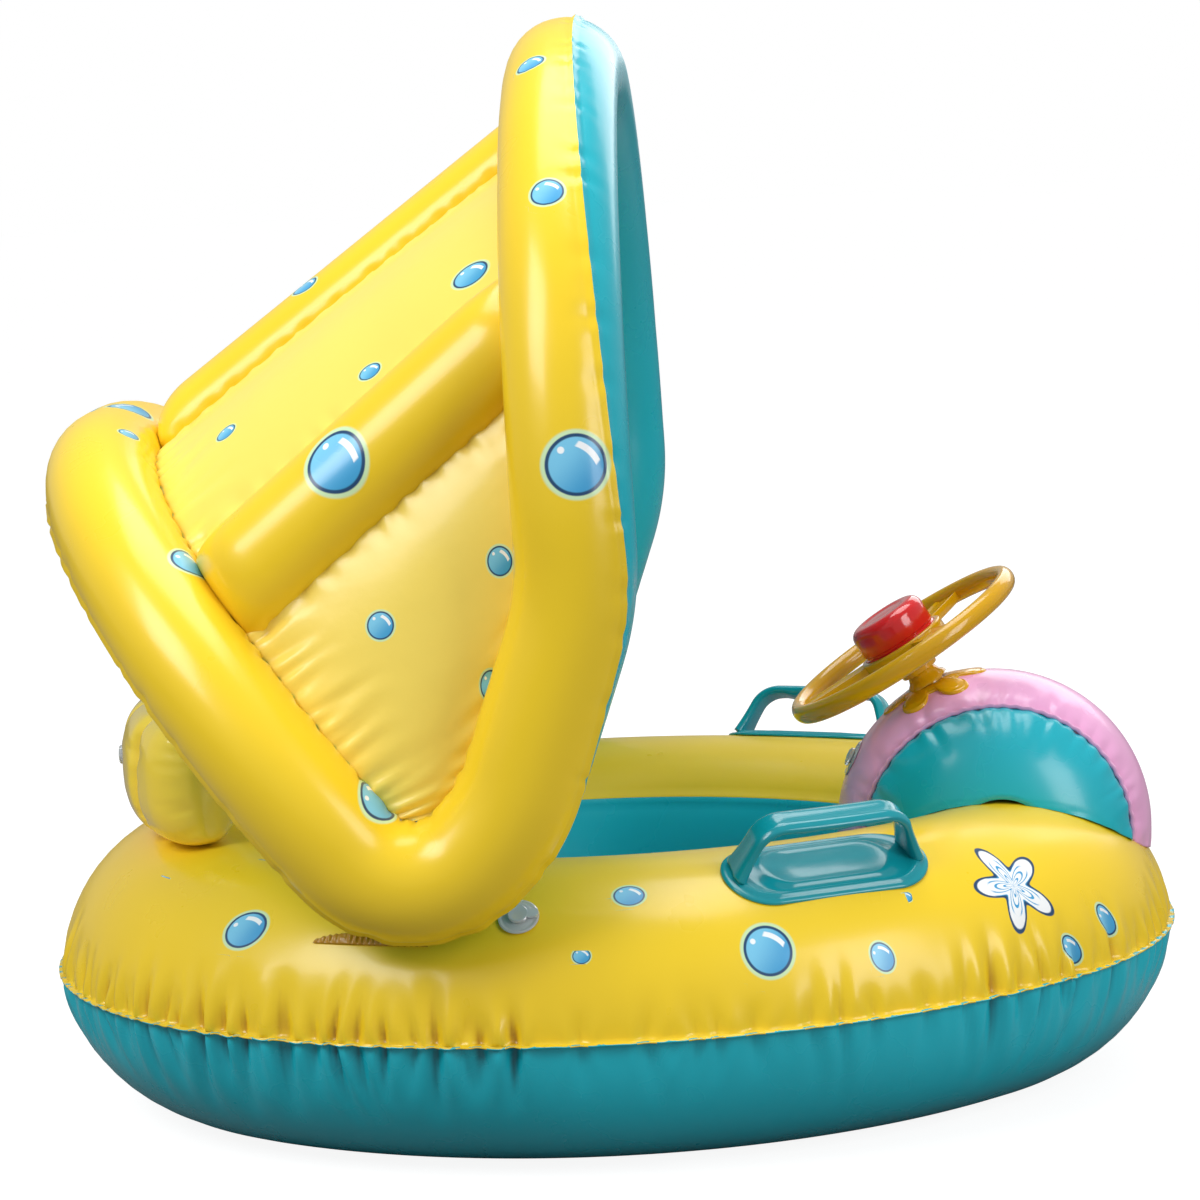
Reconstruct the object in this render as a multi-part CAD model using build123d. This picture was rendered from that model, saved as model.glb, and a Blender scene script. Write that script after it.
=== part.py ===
from build123d import *
import math
import os

# Inflatable baby swim float with a tilting sun canopy and a toy steering wheel.
# Millimetres. +X points to the bow, +Y to port, +Z up. The origin lies on the floor,
# under the middle of the hull's plan outline.

# ---- driving dimensions: films, lips and clearances ----
film = 1.0                # wall of every inflated skin
lip_width = 5.0           # weld lip outside a seam
lip_film = 0.8            # one film's share of a weld lip
seat_gap = 0.3            # gap between a soft part and what it rests on
turn_gap = 0.1            # radial running clearance of the wheel on its pin
slide_gap = 0.4           # clearance round a piece that slides
reach = 40.0              # how far a cutter runs past what it cuts
bite = 1.0                # overlap that joins two parts of one solid

# ---- hull ring: centreline made of four tangent arcs ----
hull_half_width = 198.0   # centreline half width
stern_radius = 176.0
bow_radius = 150.0
side_radius = 326.0
tube_radius = 88.0
floor_flat = 1.3          # depth of the flattened patch that the ring sits on
hull_z = tube_radius - floor_flat
hull_top = hull_z + tube_radius

# ---- seat sling ----
sling_depth = 42.0
sling_draw_in = 12.0      # how far its wall leans in on the way down
sling_film = 1.2
leg_hole_length = 115.0
leg_hole_width = 62.0
leg_hole_x = 50.0
leg_hole_y = 52.0

# ---- backrest cushion ----
backrest_radius = 190.0   # middle of its section from the stern arc's centre
backrest_thickness = 60.0
backrest_height = 80.0
backrest_round = 28.0
backrest_half_angle = 38.0

# ---- bow console ----
console_x = 244.0
console_z = 145.0
console_radius = 98.0
console_crown = 85.0      # radius of the crowned section
console_foot = 20.0       # height of its lower edge above the hull's seam
band_half_width = 45.0

# ---- steering column and wheel, along an axis that leans back ----
wheel_x = console_x - 53.0
wheel_z = console_z + console_radius + 20.0
wheel_lean = 31.0
rim_outer_radius = 82.5
rim_width = 10.0
rim_height = 13.0
rim_round = 4.0
spoke_count = 3
spoke_width = 18.0
spoke_thickness = 7.0
spoke_drop = 1.5          # below the rim's mid-plane
hub_radius = 29.0
hub_top = 3.0
hub_floor_top = -8.0
hub_floor = 4.0
boss_radius = 12.0
boss_length = 8.0
column_radius = 10.0
column_sink = 6.0         # carried on below the skin before it is trimmed
pin_radius = 6.0
pin_top = -4.0
flange_hub_radius = 20.0
lobe_count = 6
lobe_radius = 9.0
lobe_pitch_radius = 26.0
flange_thickness = 3.0

# ---- horn button and what is inside it ----
button_radius = 25.2
button_wall = 2.0
button_top = 24.0
button_bottom = -4.0
button_round = 7.0
squeaker_radius = 14.0
squeaker_bottom = 6.0
retainer_radius = 10.0
retainer_height = 2.0

# ---- handles ----
handle_arc_angle = 66.6   # place along the side arc, from +X
handle_slope = 24.0       # lean of its normal outboard from vertical
plate_length = 128.0
plate_width = 56.0
plate_thickness = 2.0
grip_length = 96.0
grip_height = 34.0
grip_thickness = 6.0
grip_width = 20.0
grip_round = 20.0         # outer corners of the arch
grip_inner_round = 15.0
grip_foot = 14.0          # its legs run on below the skin before the trim
foot_round = 0.5
plate_bite = 0.5          # how far the legs sink in the plate

# ---- canopy ----
canopy_tube_radius = 35.0
corner_x = -97.0          # pivot axis, the centre of each rounded corner
corner_z = hull_top + 57.3
corner_radius = 50.0
corner_y = 274.0
rear_slope = 51.0         # slope of the rear hoop's legs
rear_crest_x = -300.0
front_slope = 45.0        # slope of the front hoop where it leaves the corner
front_run = 30.0
front_knee = (4.0, 280.0, 340.0)
front_crest = (-2.0, 284.0, 630.0)
front_low_radius = 110.0
front_knee_radius = 200.0
crest_radius = 255.0
rear_rib_angle = 37.0     # where a side rib leaves the rear hoop's arc
front_rib_angle = 31.5    # and where it reaches the front hoop's arc
rear_film_inset = 14.0    # how far inside the rear hoop's centreline the films are welded
front_film_inset = 28.0
centre_rib_radius = 27.0
panel_film = 1.2
weld_rear_angle = 24.0    # the weld strip under a corner, from straight down
weld_front_angle = 4.0
weld_width = 14.0

# ---- valves ----
valve_disc_radius = 12.0
valve_disc = 1.5
valve_neck_radius = 5.6
valve_bore_radius = 3.8
valve_neck_height = 8.0
plug_head_radius = 6.0
plug_head = 2.5
plug_stem = 6.0
hull_valve_angle = -95.0  # place along the starboard side arc
hull_valve_slope = 40.0   # lean of its normal outboard from vertical
console_valve_angle = 152.0

# ---- worked out from the above ----
wheel_tilt = Rot(0, -wheel_lean, 0)
wheel_place = Pos(wheel_x, 0, wheel_z) * wheel_tilt


def plan_arcs():
    """Centre x, centre y, radius, start angle and sweep of the four arcs of the centreline."""
    drop = side_radius - hull_half_width
    to_stern = math.sqrt((side_radius - stern_radius) ** 2 - drop ** 2)
    to_bow = math.sqrt((side_radius - bow_radius) ** 2 - drop ** 2)
    side_x = (to_stern + stern_radius - to_bow - bow_radius) / 2
    aft = math.degrees(math.atan2(drop, -to_stern))
    fore = math.degrees(math.atan2(drop, to_bow))
    return [
        (side_x - to_stern, 0, stern_radius, aft, 360 - 2 * aft),
        (side_x + to_bow, 0, bow_radius, -fore, 2 * fore),
        (side_x, -drop, side_radius, fore, aft - fore),
        (side_x, drop, side_radius, -aft, aft - fore),
    ]


stern_arc, bow_arc, port_arc, starboard_arc = plan_arcs()


def ring(section):
    """Carry a section, drawn about the tube's centre, once round the hull."""
    whole = None
    for x, y, radius, start, sweep_angle in plan_arcs():
        face = Plane.XZ * Pos(radius, hull_z) * section
        piece = Pos(x, y, 0) * Rot(0, 0, start) * revolve(face, Axis.Z, revolution_arc=sweep_angle)
        whole = piece if whole is None else whole + piece
    return whole


def tube_disc(radius):
    """A tube's section with its bottom flattened for the floor."""
    flat_cut = Pos(0, -2 * radius + floor_flat) * Rectangle(4 * radius, 2 * radius)
    return Circle(radius) - flat_cut


def half_section(upper):
    """Half of the tube's wall with its outer and inner weld lips."""
    side = 1 if upper else -1
    wall = tube_disc(tube_radius) - tube_disc(tube_radius - film)
    half = wall & (Pos(0, side * 2 * tube_radius) * Rectangle(4 * tube_radius, 4 * tube_radius))
    lip_length = lip_width + film
    lip_middle = tube_radius - film + lip_length / 2
    for u in (-lip_middle, lip_middle):
        half = half + Pos(u, side * lip_film / 2) * Rectangle(lip_length, lip_film)
    return half


def hull_body(clearance=0.0):
    """The hull as a full solid, for fitting other pieces against it."""
    return ring(Circle(tube_radius + clearance))


def hull_upper_skin():
    return ring(half_section(True))


def hull_lower_skin():
    return ring(half_section(False))


def inner_outline(inset, z):
    """The hull centreline moved inwards, as a flat face."""
    edges = []
    for x, y, radius, start, sweep_angle in plan_arcs():
        edges.append(CenterArc((x, y, z), radius - inset, start, sweep_angle))
    return make_face(Wire(edges))


def seat_sling():
    """Dished film welded under the inner seam, with two leg holes."""
    rim_z = hull_z - lip_film
    rim_inset = tube_radius + lip_width
    floor_z = rim_z - sling_depth
    floor_inset = rim_inset + sling_draw_in
    outer = loft([inner_outline(rim_inset, rim_z), inner_outline(floor_inset, floor_z)], ruled=True)
    inner = loft(
        [
            inner_outline(rim_inset + sling_film, rim_z),
            inner_outline(floor_inset + sling_film, floor_z + sling_film),
        ],
        ruled=True,
    )
    rim_inner = inner_outline(rim_inset + sling_film / 2, rim_z - sling_film)
    rim_outer = inner_outline(tube_radius + seat_gap, rim_z - sling_film)
    rim = extrude(rim_outer - rim_inner, sling_film, dir=(0, 0, 1))
    sling = outer - inner + rim
    hole = SlotOverall(leg_hole_length, leg_hole_width)
    for side in (-1, 1):
        cut = Pos(leg_hole_x, side * leg_hole_y, floor_z - film) * extrude(hole, 4 * film)
        sling = sling - cut
    return sling


def backrest_middle():
    """Height of the section's middle, with its bottom seated on the hull's skin."""
    flat_edge = backrest_radius - stern_radius - (backrest_thickness / 2 - backrest_round)
    seat = hull_z + math.sqrt(tube_radius ** 2 - flat_edge ** 2)
    return seat + seat_gap + backrest_height / 2


def backrest_section(inset):
    width = backrest_thickness - 2 * inset
    height = backrest_height - 2 * inset
    middle = backrest_middle()
    rounded = RectangleRounded(width, height, backrest_round - inset)
    return Plane.XZ * Pos(backrest_radius, middle) * rounded


def backrest_shape(inset):
    """The cushion curves with the stern; its ends are trimmed back by the inset."""
    trim = math.degrees(inset / backrest_radius)
    span = 2 * (backrest_half_angle - trim)
    bent = revolve(backrest_section(inset), Axis.Z, revolution_arc=span)
    return Pos(stern_arc[0], 0, 0) * Rot(0, 0, 180 - span / 2) * bent


def backrest_cushion():
    return backrest_shape(0) - backrest_shape(film)


def console_dome(grow):
    """A round body with a lateral axis and a crowned rim."""
    crown = console_crown + grow
    crown_offset = console_radius - console_crown
    end = Vector(crown_offset, crown)
    arc = ThreePointArc((crown_offset, -crown), (crown_offset + crown, 0), end)
    outline = Polyline((crown_offset, crown), (0, crown), (0, -crown), (crown_offset, -crown))
    dome = revolve(make_face(Curve() + [arc, outline]), Axis.Y)
    return Pos(console_x, 0, console_z) * dome


def console_shell():
    outer = console_dome(0) - hull_body(seat_gap)
    inner = console_dome(-film) - hull_body(seat_gap + film)
    shell = outer - inner
    foot = hull_z + console_foot
    below = Pos(console_x, 0, foot - hull_z) * Box(4 * console_radius, 4 * console_crown, 2 * hull_z)
    return shell - below


def slab(low, high):
    middle = (low + high) / 2
    return Pos(console_x, middle, console_z) * Box(4 * console_radius, high - low, 4 * console_radius)


def console_pieces():
    shell = console_shell()
    wide = 2 * console_crown
    return {
        "console_centre_band": with_valve(shell & slab(-band_half_width, band_half_width), "console"),
        "console_port_panel": shell & slab(band_half_width, wide),
        "console_starboard_panel": shell & slab(-wide, -band_half_width),
    }


def column_foot_depth():
    """Distance along the wheel's axis from the rim's mid-plane to the console's skin."""
    lean = math.radians(wheel_lean)
    dx = console_x - wheel_x
    dz = console_z - wheel_z
    along = dx * math.sin(lean) - dz * math.cos(lean)
    across = math.hypot(dx, dz) ** 2 - along ** 2
    return along - math.sqrt(console_radius ** 2 - across)


def column_flange():
    """Six-lobed soft foot that follows the console's crown."""
    star = Circle(flange_hub_radius)
    for k in range(lobe_count):
        star = star + Rot(0, 0, 360 / lobe_count * k) * Pos(lobe_pitch_radius, 0) * Circle(lobe_radius)
    star = star - Circle(column_radius + seat_gap / 3)
    depth = column_foot_depth()
    prism = wheel_place * Pos(0, 0, -depth - reach / 2) * extrude(star, reach)
    return (prism & console_dome(seat_gap + flange_thickness)) - console_dome(seat_gap)


def steering_column():
    """Post welded to the console, with the pin that the wheel turns on."""
    shoulder = hub_floor_top - hub_floor - boss_length - seat_gap
    foot = -column_foot_depth() - column_sink
    post = Pos(0, 0, foot) * extrude(Circle(column_radius), shoulder - foot)
    pin = Pos(0, 0, shoulder) * extrude(Circle(pin_radius), pin_top - shoulder)
    return wheel_place * (post + pin) - console_dome(seat_gap)


def wheel_retainer():
    """Snap washer on the pin, over the hub's floor."""
    bottom = hub_floor_top + seat_gap
    washer = extrude(Circle(retainer_radius) - Circle(pin_radius), retainer_height)
    return wheel_place * Pos(0, 0, bottom) * washer


def steering_wheel():
    """Rim, three spokes and the cup that holds the horn button."""
    rim_radius = rim_outer_radius - rim_width / 2
    rim_face = Plane.XZ * Pos(rim_radius, 0) * RectangleRounded(rim_width, rim_height, rim_round)
    wheel = revolve(rim_face, Axis.Z)
    spoke_length = rim_radius - hub_radius + 2 * bite
    for k in range(spoke_count):
        spoke = Box(spoke_length, spoke_width, spoke_thickness)
        middle = hub_radius - bite + spoke_length / 2
        wheel = wheel + Rot(0, 0, 180 + 360 / spoke_count * k) * Pos(middle, 0, -spoke_drop) * spoke
    base = hub_floor_top - hub_floor
    wheel = wheel + Pos(0, 0, base) * extrude(Circle(hub_radius), hub_top - base)
    wheel = wheel + Pos(0, 0, base - boss_length) * extrude(Circle(boss_radius), boss_length + bite)
    cavity = button_radius + slide_gap
    wheel = wheel - Pos(0, 0, hub_floor_top) * extrude(Circle(cavity), hub_top - hub_floor_top + bite)
    bore = extrude(Circle(pin_radius + turn_gap), boss_length + hub_floor + 2 * bite)
    wheel = wheel - Pos(0, 0, base - boss_length - bite) * bore
    return wheel_place * wheel


def horn_button():
    height = button_top - button_bottom
    cap = extrude(Circle(button_radius), height)
    cap = fillet(cap.edges().group_by(Axis.Z)[-1], button_round)
    hollow = extrude(Circle(button_radius - button_wall), height - button_wall)
    hollow = fillet(hollow.edges().group_by(Axis.Z)[-1], button_round - button_wall)
    return wheel_place * Pos(0, 0, button_bottom) * (cap - hollow)


def horn_squeaker():
    """Squeaker bellows pushed up against the inside of the horn button."""
    top = button_top - button_wall
    return wheel_place * Pos(0, 0, squeaker_bottom) * extrude(Circle(squeaker_radius), top - squeaker_bottom)


def handle_frame(side):
    """Frame on the hull's skin: X along the tube, Y inboard to outboard, Z out of the skin."""
    x, y, radius = port_arc[:3]
    angle = math.radians(handle_arc_angle)
    slope = math.radians(handle_slope)
    out = Vector(math.cos(angle), side * math.sin(angle), 0)
    normal = out * math.sin(slope) + Vector(0, 0, math.cos(slope))
    along = Vector(math.sin(angle), -side * math.cos(angle), 0)
    foot = Vector(x, side * y, hull_z) + out * radius + normal * tube_radius
    return Plane(origin=foot, x_dir=along, z_dir=normal)


def grip_block(length, height, width, corner):
    """A trapezoid arch's outline, drawn out sideways."""
    half = length / 2
    slant = height / 3
    outline = FilletPolyline(
        (-half - slant, -grip_foot),
        (-half + slant, height),
        (half - slant, height),
        (half + slant, -grip_foot),
        (-half - slant, -grip_foot),
        radius=(foot_round, corner, corner, foot_round),
    )
    return Pos(0, width / 2, 0) * extrude(Plane.XZ * make_face(outline), width)


def handle(side):
    """Moulded handle: a plate that follows the tube and a raised grip."""
    frame = handle_frame(side)
    prism = Pos(0, 0, -reach / 2) * extrude(SlotOverall(plate_length, plate_width), reach)
    low = seat_gap
    high = seat_gap + plate_thickness
    plate = (frame.location * prism) & (hull_body(high) - hull_body(low))
    outer = grip_block(grip_length, grip_height, grip_width, grip_round)
    inner_length = grip_length - 2 * grip_thickness
    inner = grip_block(inner_length, grip_height - grip_thickness, grip_width + 2 * bite, grip_inner_round)
    grip = frame.location * (outer - inner) - hull_body(high - plate_bite)
    return plate + grip


def on_side(points, side):
    """Points listed for port, put on either side."""
    return [Vector(x, side * y, z) for x, y, z in points]


def corner_point(angle, radius=corner_radius):
    """A point of the corner's round; the angle runs forward from straight down."""
    turn = math.radians(angle)
    return (corner_x + radius * math.sin(turn), corner_y, corner_z - radius * math.cos(turn))


def corner_arc(side, end_angle):
    points = [corner_point(0), corner_point(end_angle / 2), corner_point(end_angle)]
    return ThreePointArc(*on_side(points, side))


def rear_crest():
    """Where the rear hoop's leg would meet its crest."""
    x, y, z = corner_point(-rear_slope)
    rise = (x - rear_crest_x) * math.tan(math.radians(rear_slope))
    return (rear_crest_x, corner_y, z + rise)


def front_foot():
    """First bend of the front hoop after the corner."""
    x, y, z = corner_point(front_slope)
    step = math.radians(front_slope)
    return (x + front_run * math.cos(step), corner_y, z + front_run * math.sin(step))


def hoop_path(points, radii, end_angle):
    """Corner arc, filleted run and corner arc, from starboard to port."""
    run = on_side(points, -1) + on_side(reversed(points), 1)
    middle = FilletPolyline(*run, radius=radii + radii[::-1])
    return Wire([*corner_arc(-1, end_angle).edges(), *middle.edges(), *corner_arc(1, end_angle).edges()])


def rear_path():
    return hoop_path([corner_point(-rear_slope), rear_crest()], [crest_radius], -rear_slope)


def front_path():
    points = [corner_point(front_slope), front_foot(), front_knee, front_crest]
    return hoop_path(points, [front_low_radius, front_knee_radius, crest_radius], front_slope)


def swept(path, section):
    start = Plane(origin=path @ 0, z_dir=path % 0)
    return sweep(start * section, path)


def hoop(path):
    """A hollow inflated tube along a path."""
    outer = swept(path, Circle(canopy_tube_radius))
    return outer - swept(path, Circle(canopy_tube_radius - film))


def arch_frame(crest, below):
    """Plane of a hoop's starboard quarter arc: X outboard, Y up the leg, origin at its centre."""
    top = Vector(crest[0], -crest[1], crest[2])
    up = (top - Vector(below[0], -below[1], below[2])).normalized()
    inboard = Vector(0, 1, 0)
    inboard = (inboard - up * inboard.dot(up)).normalized()
    centre = top + inboard * crest_radius - up * crest_radius
    return Plane(origin=centre, x_dir=inboard * -1, z_dir=(inboard * -1).cross(up))


def rear_arch():
    return arch_frame(rear_crest(), corner_point(-rear_slope))


def front_arch():
    return arch_frame(front_crest, front_knee)


def arch_point(frame, angle, inset):
    turn = math.radians(angle)
    radius = crest_radius - inset
    return frame.from_local_coords(Vector(radius * math.cos(turn), radius * math.sin(turn), 0))


def rib_ends():
    rear_end = arch_point(rear_arch(), rear_rib_angle, rear_film_inset)
    front_end = arch_point(front_arch(), front_rib_angle, front_film_inset)
    return rear_end, front_end


def straight_tube(start, end, radius):
    plane = Plane(origin=start, z_dir=end - start)
    return plane.location * extrude(Circle(radius), (end - start).length)


def rib(start, end, radius, hoops):
    tube = straight_tube(start, end, radius) - straight_tube(start, end, radius - film)
    return keep_main(tube - hoops)


def keep_main(shape):
    """The largest solid that a cut leaves."""
    return max(shape.solids(), key=lambda solid: solid.volume)


def strip(frame, inset, start_angle, end_angle):
    """Thin sector of a quarter arch, as a face."""
    outer = crest_radius - inset + panel_film / 2
    inner = crest_radius - inset - panel_film / 2
    span = end_angle - start_angle
    arc_out = CenterArc((0, 0), outer, start_angle, span)
    arc_in = CenterArc((0, 0), inner, start_angle, span)
    ends = [Line(arc_out @ 0, arc_in @ 0), Line(arc_out @ 1, arc_in @ 1)]
    return frame * make_face(Curve() + [arc_out, arc_in, *ends])


def roof_panel(cutters):
    """Starboard half of the hood's roof, from the side rib to the centre rib."""
    sections = [
        strip(rear_arch(), rear_film_inset, rear_rib_angle, 90),
        strip(front_arch(), front_film_inset, front_rib_angle, 90),
    ]
    return keep_main(loft(sections, ruled=True) - cutters)


def side_panel(cutters):
    """Starboard side web between the corner, both hoops and the side rib."""
    rear_end, front_end = rib_ends()
    corner = Vector(corner_x, -corner_y, corner_z - corner_radius)
    face = make_face(Polyline(corner, rear_end, front_end, corner))
    normal = (rear_end - corner).cross(front_end - corner).normalized()
    web = extrude(face, panel_film / 2, dir=normal, both=True)
    return keep_main(web - cutters)


def canopy_pieces():
    rear_wire = rear_path()
    front_wire = front_path()
    hoops = swept(rear_wire, Circle(canopy_tube_radius)) + swept(front_wire, Circle(canopy_tube_radius))
    rear_end, front_end = rib_ends()
    rear_top = arch_point(rear_arch(), 90, rear_film_inset)
    front_top = arch_point(front_arch(), 90, front_film_inset)
    rear_top = Vector(rear_top.X, 0, rear_top.Z)
    front_top = Vector(front_top.X, 0, front_top.Z)
    side_rib_radius = canopy_tube_radius - film
    side_rib = rib(rear_end, front_end, side_rib_radius, hoops)
    centre_rib = rib(rear_top, front_top, centre_rib_radius, hoops)
    side_core = straight_tube(rear_end, front_end, side_rib_radius)
    centre_core = straight_tube(rear_top, front_top, centre_rib_radius)
    cutters = hoops + side_core + centre_core
    roof = roof_panel(cutters)
    web = side_panel(cutters)
    return {
        "canopy_rear_tube": with_valve(hoop(rear_wire), "canopy"),
        "canopy_front_tube": hoop(front_wire),
        "canopy_centre_rib": centre_rib,
        "canopy_starboard_rib": side_rib,
        "canopy_port_rib": mirror(side_rib, Plane.XZ),
        "canopy_starboard_roof": roof,
        "canopy_port_roof": mirror(roof, Plane.XZ),
        "canopy_starboard_web": web,
        "canopy_port_web": mirror(web, Plane.XZ),
    }


def canopy_weld(side):
    """Strip on the hull that the canopy's rounded corner rocks in."""
    x, y, radius = (starboard_arc if side < 0 else port_arc)[:3]
    hull_y = y + side * math.sqrt(radius ** 2 - (corner_x - x) ** 2)
    low_z = corner_z - corner_radius
    across = Vector(0, side * corner_y - hull_y, low_z - hull_z)
    span = across.length
    middle = Vector(corner_x, hull_y, hull_z) + across * (tube_radius / span)
    plane = Plane(origin=middle, x_dir=(1, 0, 0), z_dir=across)
    outer = corner_radius + canopy_tube_radius
    rear = -outer * math.sin(math.radians(weld_rear_angle))
    front = outer * math.sin(math.radians(weld_front_angle))
    block = Pos((rear + front) / 2, 0, 0) * Box(front - rear, weld_width, 4 * weld_width)
    cheek = Pos(corner_radius, 0) * Circle(canopy_tube_radius + seat_gap)
    corner_ring = revolve(Plane.XY * cheek, Axis.Y)
    corner_ring = Pos(corner_x, side * corner_y, corner_z) * corner_ring
    left = plane.location * block - hull_body(0) - corner_ring
    near = [s for s in left.solids() if s.center().Z < corner_z - corner_radius]
    return min(near, key=lambda solid: (solid.center() - middle).length)


def valve_seat():
    """Flange on the skin and the neck pushed in through it, about the valve's own axis."""
    flange = extrude(Circle(valve_disc_radius), valve_disc)
    neck = Pos(0, 0, -valve_neck_height) * extrude(Circle(valve_neck_radius), valve_neck_height)
    bore = Pos(0, 0, -2 * valve_neck_height) * extrude(Circle(valve_bore_radius), 3 * valve_neck_height)
    return flange + neck - bore


def valve_plug():
    """Stopper with a pull tab."""
    head_bottom = valve_disc + seat_gap
    stem = Pos(0, 0, -plug_stem) * extrude(Circle(valve_bore_radius - turn_gap), plug_stem + head_bottom)
    head = Pos(0, 0, head_bottom) * extrude(Circle(plug_head_radius), plug_head)
    tab = Pos(plug_head_radius, 0, head_bottom + plug_head / 2)
    tab = tab * Box(2 * plug_head_radius, plug_head_radius, plug_head)
    return stem + head + tab


def with_valve(skin, name):
    """Cut the hole that a valve's neck passes through."""
    hole = extrude(Circle(valve_neck_radius + slide_gap), 2 * valve_neck_height, both=True)
    return skin - valve_places[name] * hole


def skin_place(point, normal, along=(1, 0, 0)):
    """Location on a skin, just clear of it, with Z along its normal."""
    lift = normal.normalized() * seat_gap
    return Plane(origin=point + lift, x_dir=along, z_dir=normal).location


def hull_valve_place():
    """On the starboard side of the ring, ahead of the canopy corner."""
    x, y, radius = starboard_arc[:3]
    angle = math.radians(hull_valve_angle)
    slope = math.radians(hull_valve_slope)
    out = Vector(math.cos(angle), math.sin(angle), 0)
    normal = out * math.sin(slope) + Vector(0, 0, math.cos(slope))
    point = Vector(x, y, hull_z) + out * radius + normal * tube_radius
    return skin_place(point, normal)


def backrest_valve_place():
    """On the back of the cushion."""
    x = stern_arc[0] - backrest_radius - backrest_thickness / 2
    z = backrest_middle()
    return skin_place(Vector(x, 0, z), Vector(-1, 0, 0), along=(0, 1, 0))


def console_valve_place():
    """On the centre band, facing the seat."""
    turn = math.radians(console_valve_angle)
    normal = Vector(math.cos(turn), 0, math.sin(turn))
    point = Vector(console_x, 0, console_z) + normal * console_radius
    return skin_place(point, normal, along=(0, 1, 0))


def canopy_valve_place():
    """On the back of the rear hoop's crest."""
    normal = Vector(-1, 0, 0)
    x, y, z = rear_crest()
    return skin_place(Vector(x, 0, z) + normal * canopy_tube_radius, normal, along=(0, 1, 0))


valve_places = {
    "hull": hull_valve_place(),
    "console": console_valve_place(),
    "backrest": backrest_valve_place(),
    "canopy": canopy_valve_place(),
}


def all_pieces():
    pieces = {
        "hull_upper_skin": with_valve(hull_upper_skin(), "hull"),
        "hull_lower_skin": hull_lower_skin(),
        "seat_sling": seat_sling(),
        "backrest_cushion": with_valve(backrest_cushion(), "backrest"),
        "column_flange": column_flange(),
        "steering_column": steering_column(),
        "wheel_retainer": wheel_retainer(),
        "steering_wheel": steering_wheel(),
        "horn_button": horn_button(),
        "horn_squeaker": horn_squeaker(),
        "handle_port": handle(1),
        "handle_starboard": handle(-1),
        "canopy_weld_port": canopy_weld(1),
        "canopy_weld_starboard": canopy_weld(-1),
    }
    pieces.update(console_pieces())
    pieces.update(canopy_pieces())
    for name, place in valve_places.items():
        pieces[name + "_valve"] = place * valve_seat()
        pieces[name + "_valve_plug"] = place * valve_plug()
    return pieces


os.makedirs("parts", exist_ok=True)
for name, shape in all_pieces().items():
    export_step(shape, "parts/" + name + ".step")
    print(name, len(shape.solids()), round(shape.volume))
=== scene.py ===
"""Swim float with canopy and toy wheel: the looks, built round the packed model."""

import math
import random

import bmesh
import bpy
import numpy as np
from bpy.props import FloatProperty, FloatVectorProperty, IntProperty, PointerProperty
from mathutils import Matrix, Vector


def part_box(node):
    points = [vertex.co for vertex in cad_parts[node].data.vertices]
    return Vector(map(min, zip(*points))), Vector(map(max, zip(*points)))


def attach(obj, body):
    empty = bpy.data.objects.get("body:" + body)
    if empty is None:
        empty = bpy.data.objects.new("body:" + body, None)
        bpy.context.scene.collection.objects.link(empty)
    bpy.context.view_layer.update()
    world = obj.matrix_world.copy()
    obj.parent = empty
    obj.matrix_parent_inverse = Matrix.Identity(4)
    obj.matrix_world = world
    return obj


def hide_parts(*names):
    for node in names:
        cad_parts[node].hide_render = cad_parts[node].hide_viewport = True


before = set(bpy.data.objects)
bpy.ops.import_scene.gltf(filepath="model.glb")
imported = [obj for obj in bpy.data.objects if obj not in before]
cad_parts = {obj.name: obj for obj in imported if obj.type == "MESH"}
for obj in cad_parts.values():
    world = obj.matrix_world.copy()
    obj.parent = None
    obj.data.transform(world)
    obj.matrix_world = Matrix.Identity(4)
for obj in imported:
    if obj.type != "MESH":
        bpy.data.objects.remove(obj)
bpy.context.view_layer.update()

bl_info = {
    "name": "Canopy swim float",
    "version": (1, 0, 0),
    "blender": (4, 5, 0),
    "location": "3D View > Sidebar > Swim float",
    "description": "Builds an inflatable swim float with a canopy and a toy steering wheel",
    "category": "Object",
}

FAR = 9.0  # a print coordinate well outside any print
UP = np.array([0, 0, 1.0])
MIRROR = np.array([1, -1, 1])
RADIAN = 57.3  # degrees
MM = 0.001
PRINT_REACH = 1.9  # how many print radii round a print its coordinates are kept
SIDES = ((1, "port"), (-1, "starboard"))


def length(name, description, default):
    """A length that the user can change."""
    return FloatProperty(name=name, description=description, default=default, unit="LENGTH", precision=4)


def colour(name, description, default):
    """A colour that the user can change."""
    return FloatVectorProperty(
        name=name, description=description, default=default, subtype="COLOR", min=0, max=1
    )


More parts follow.
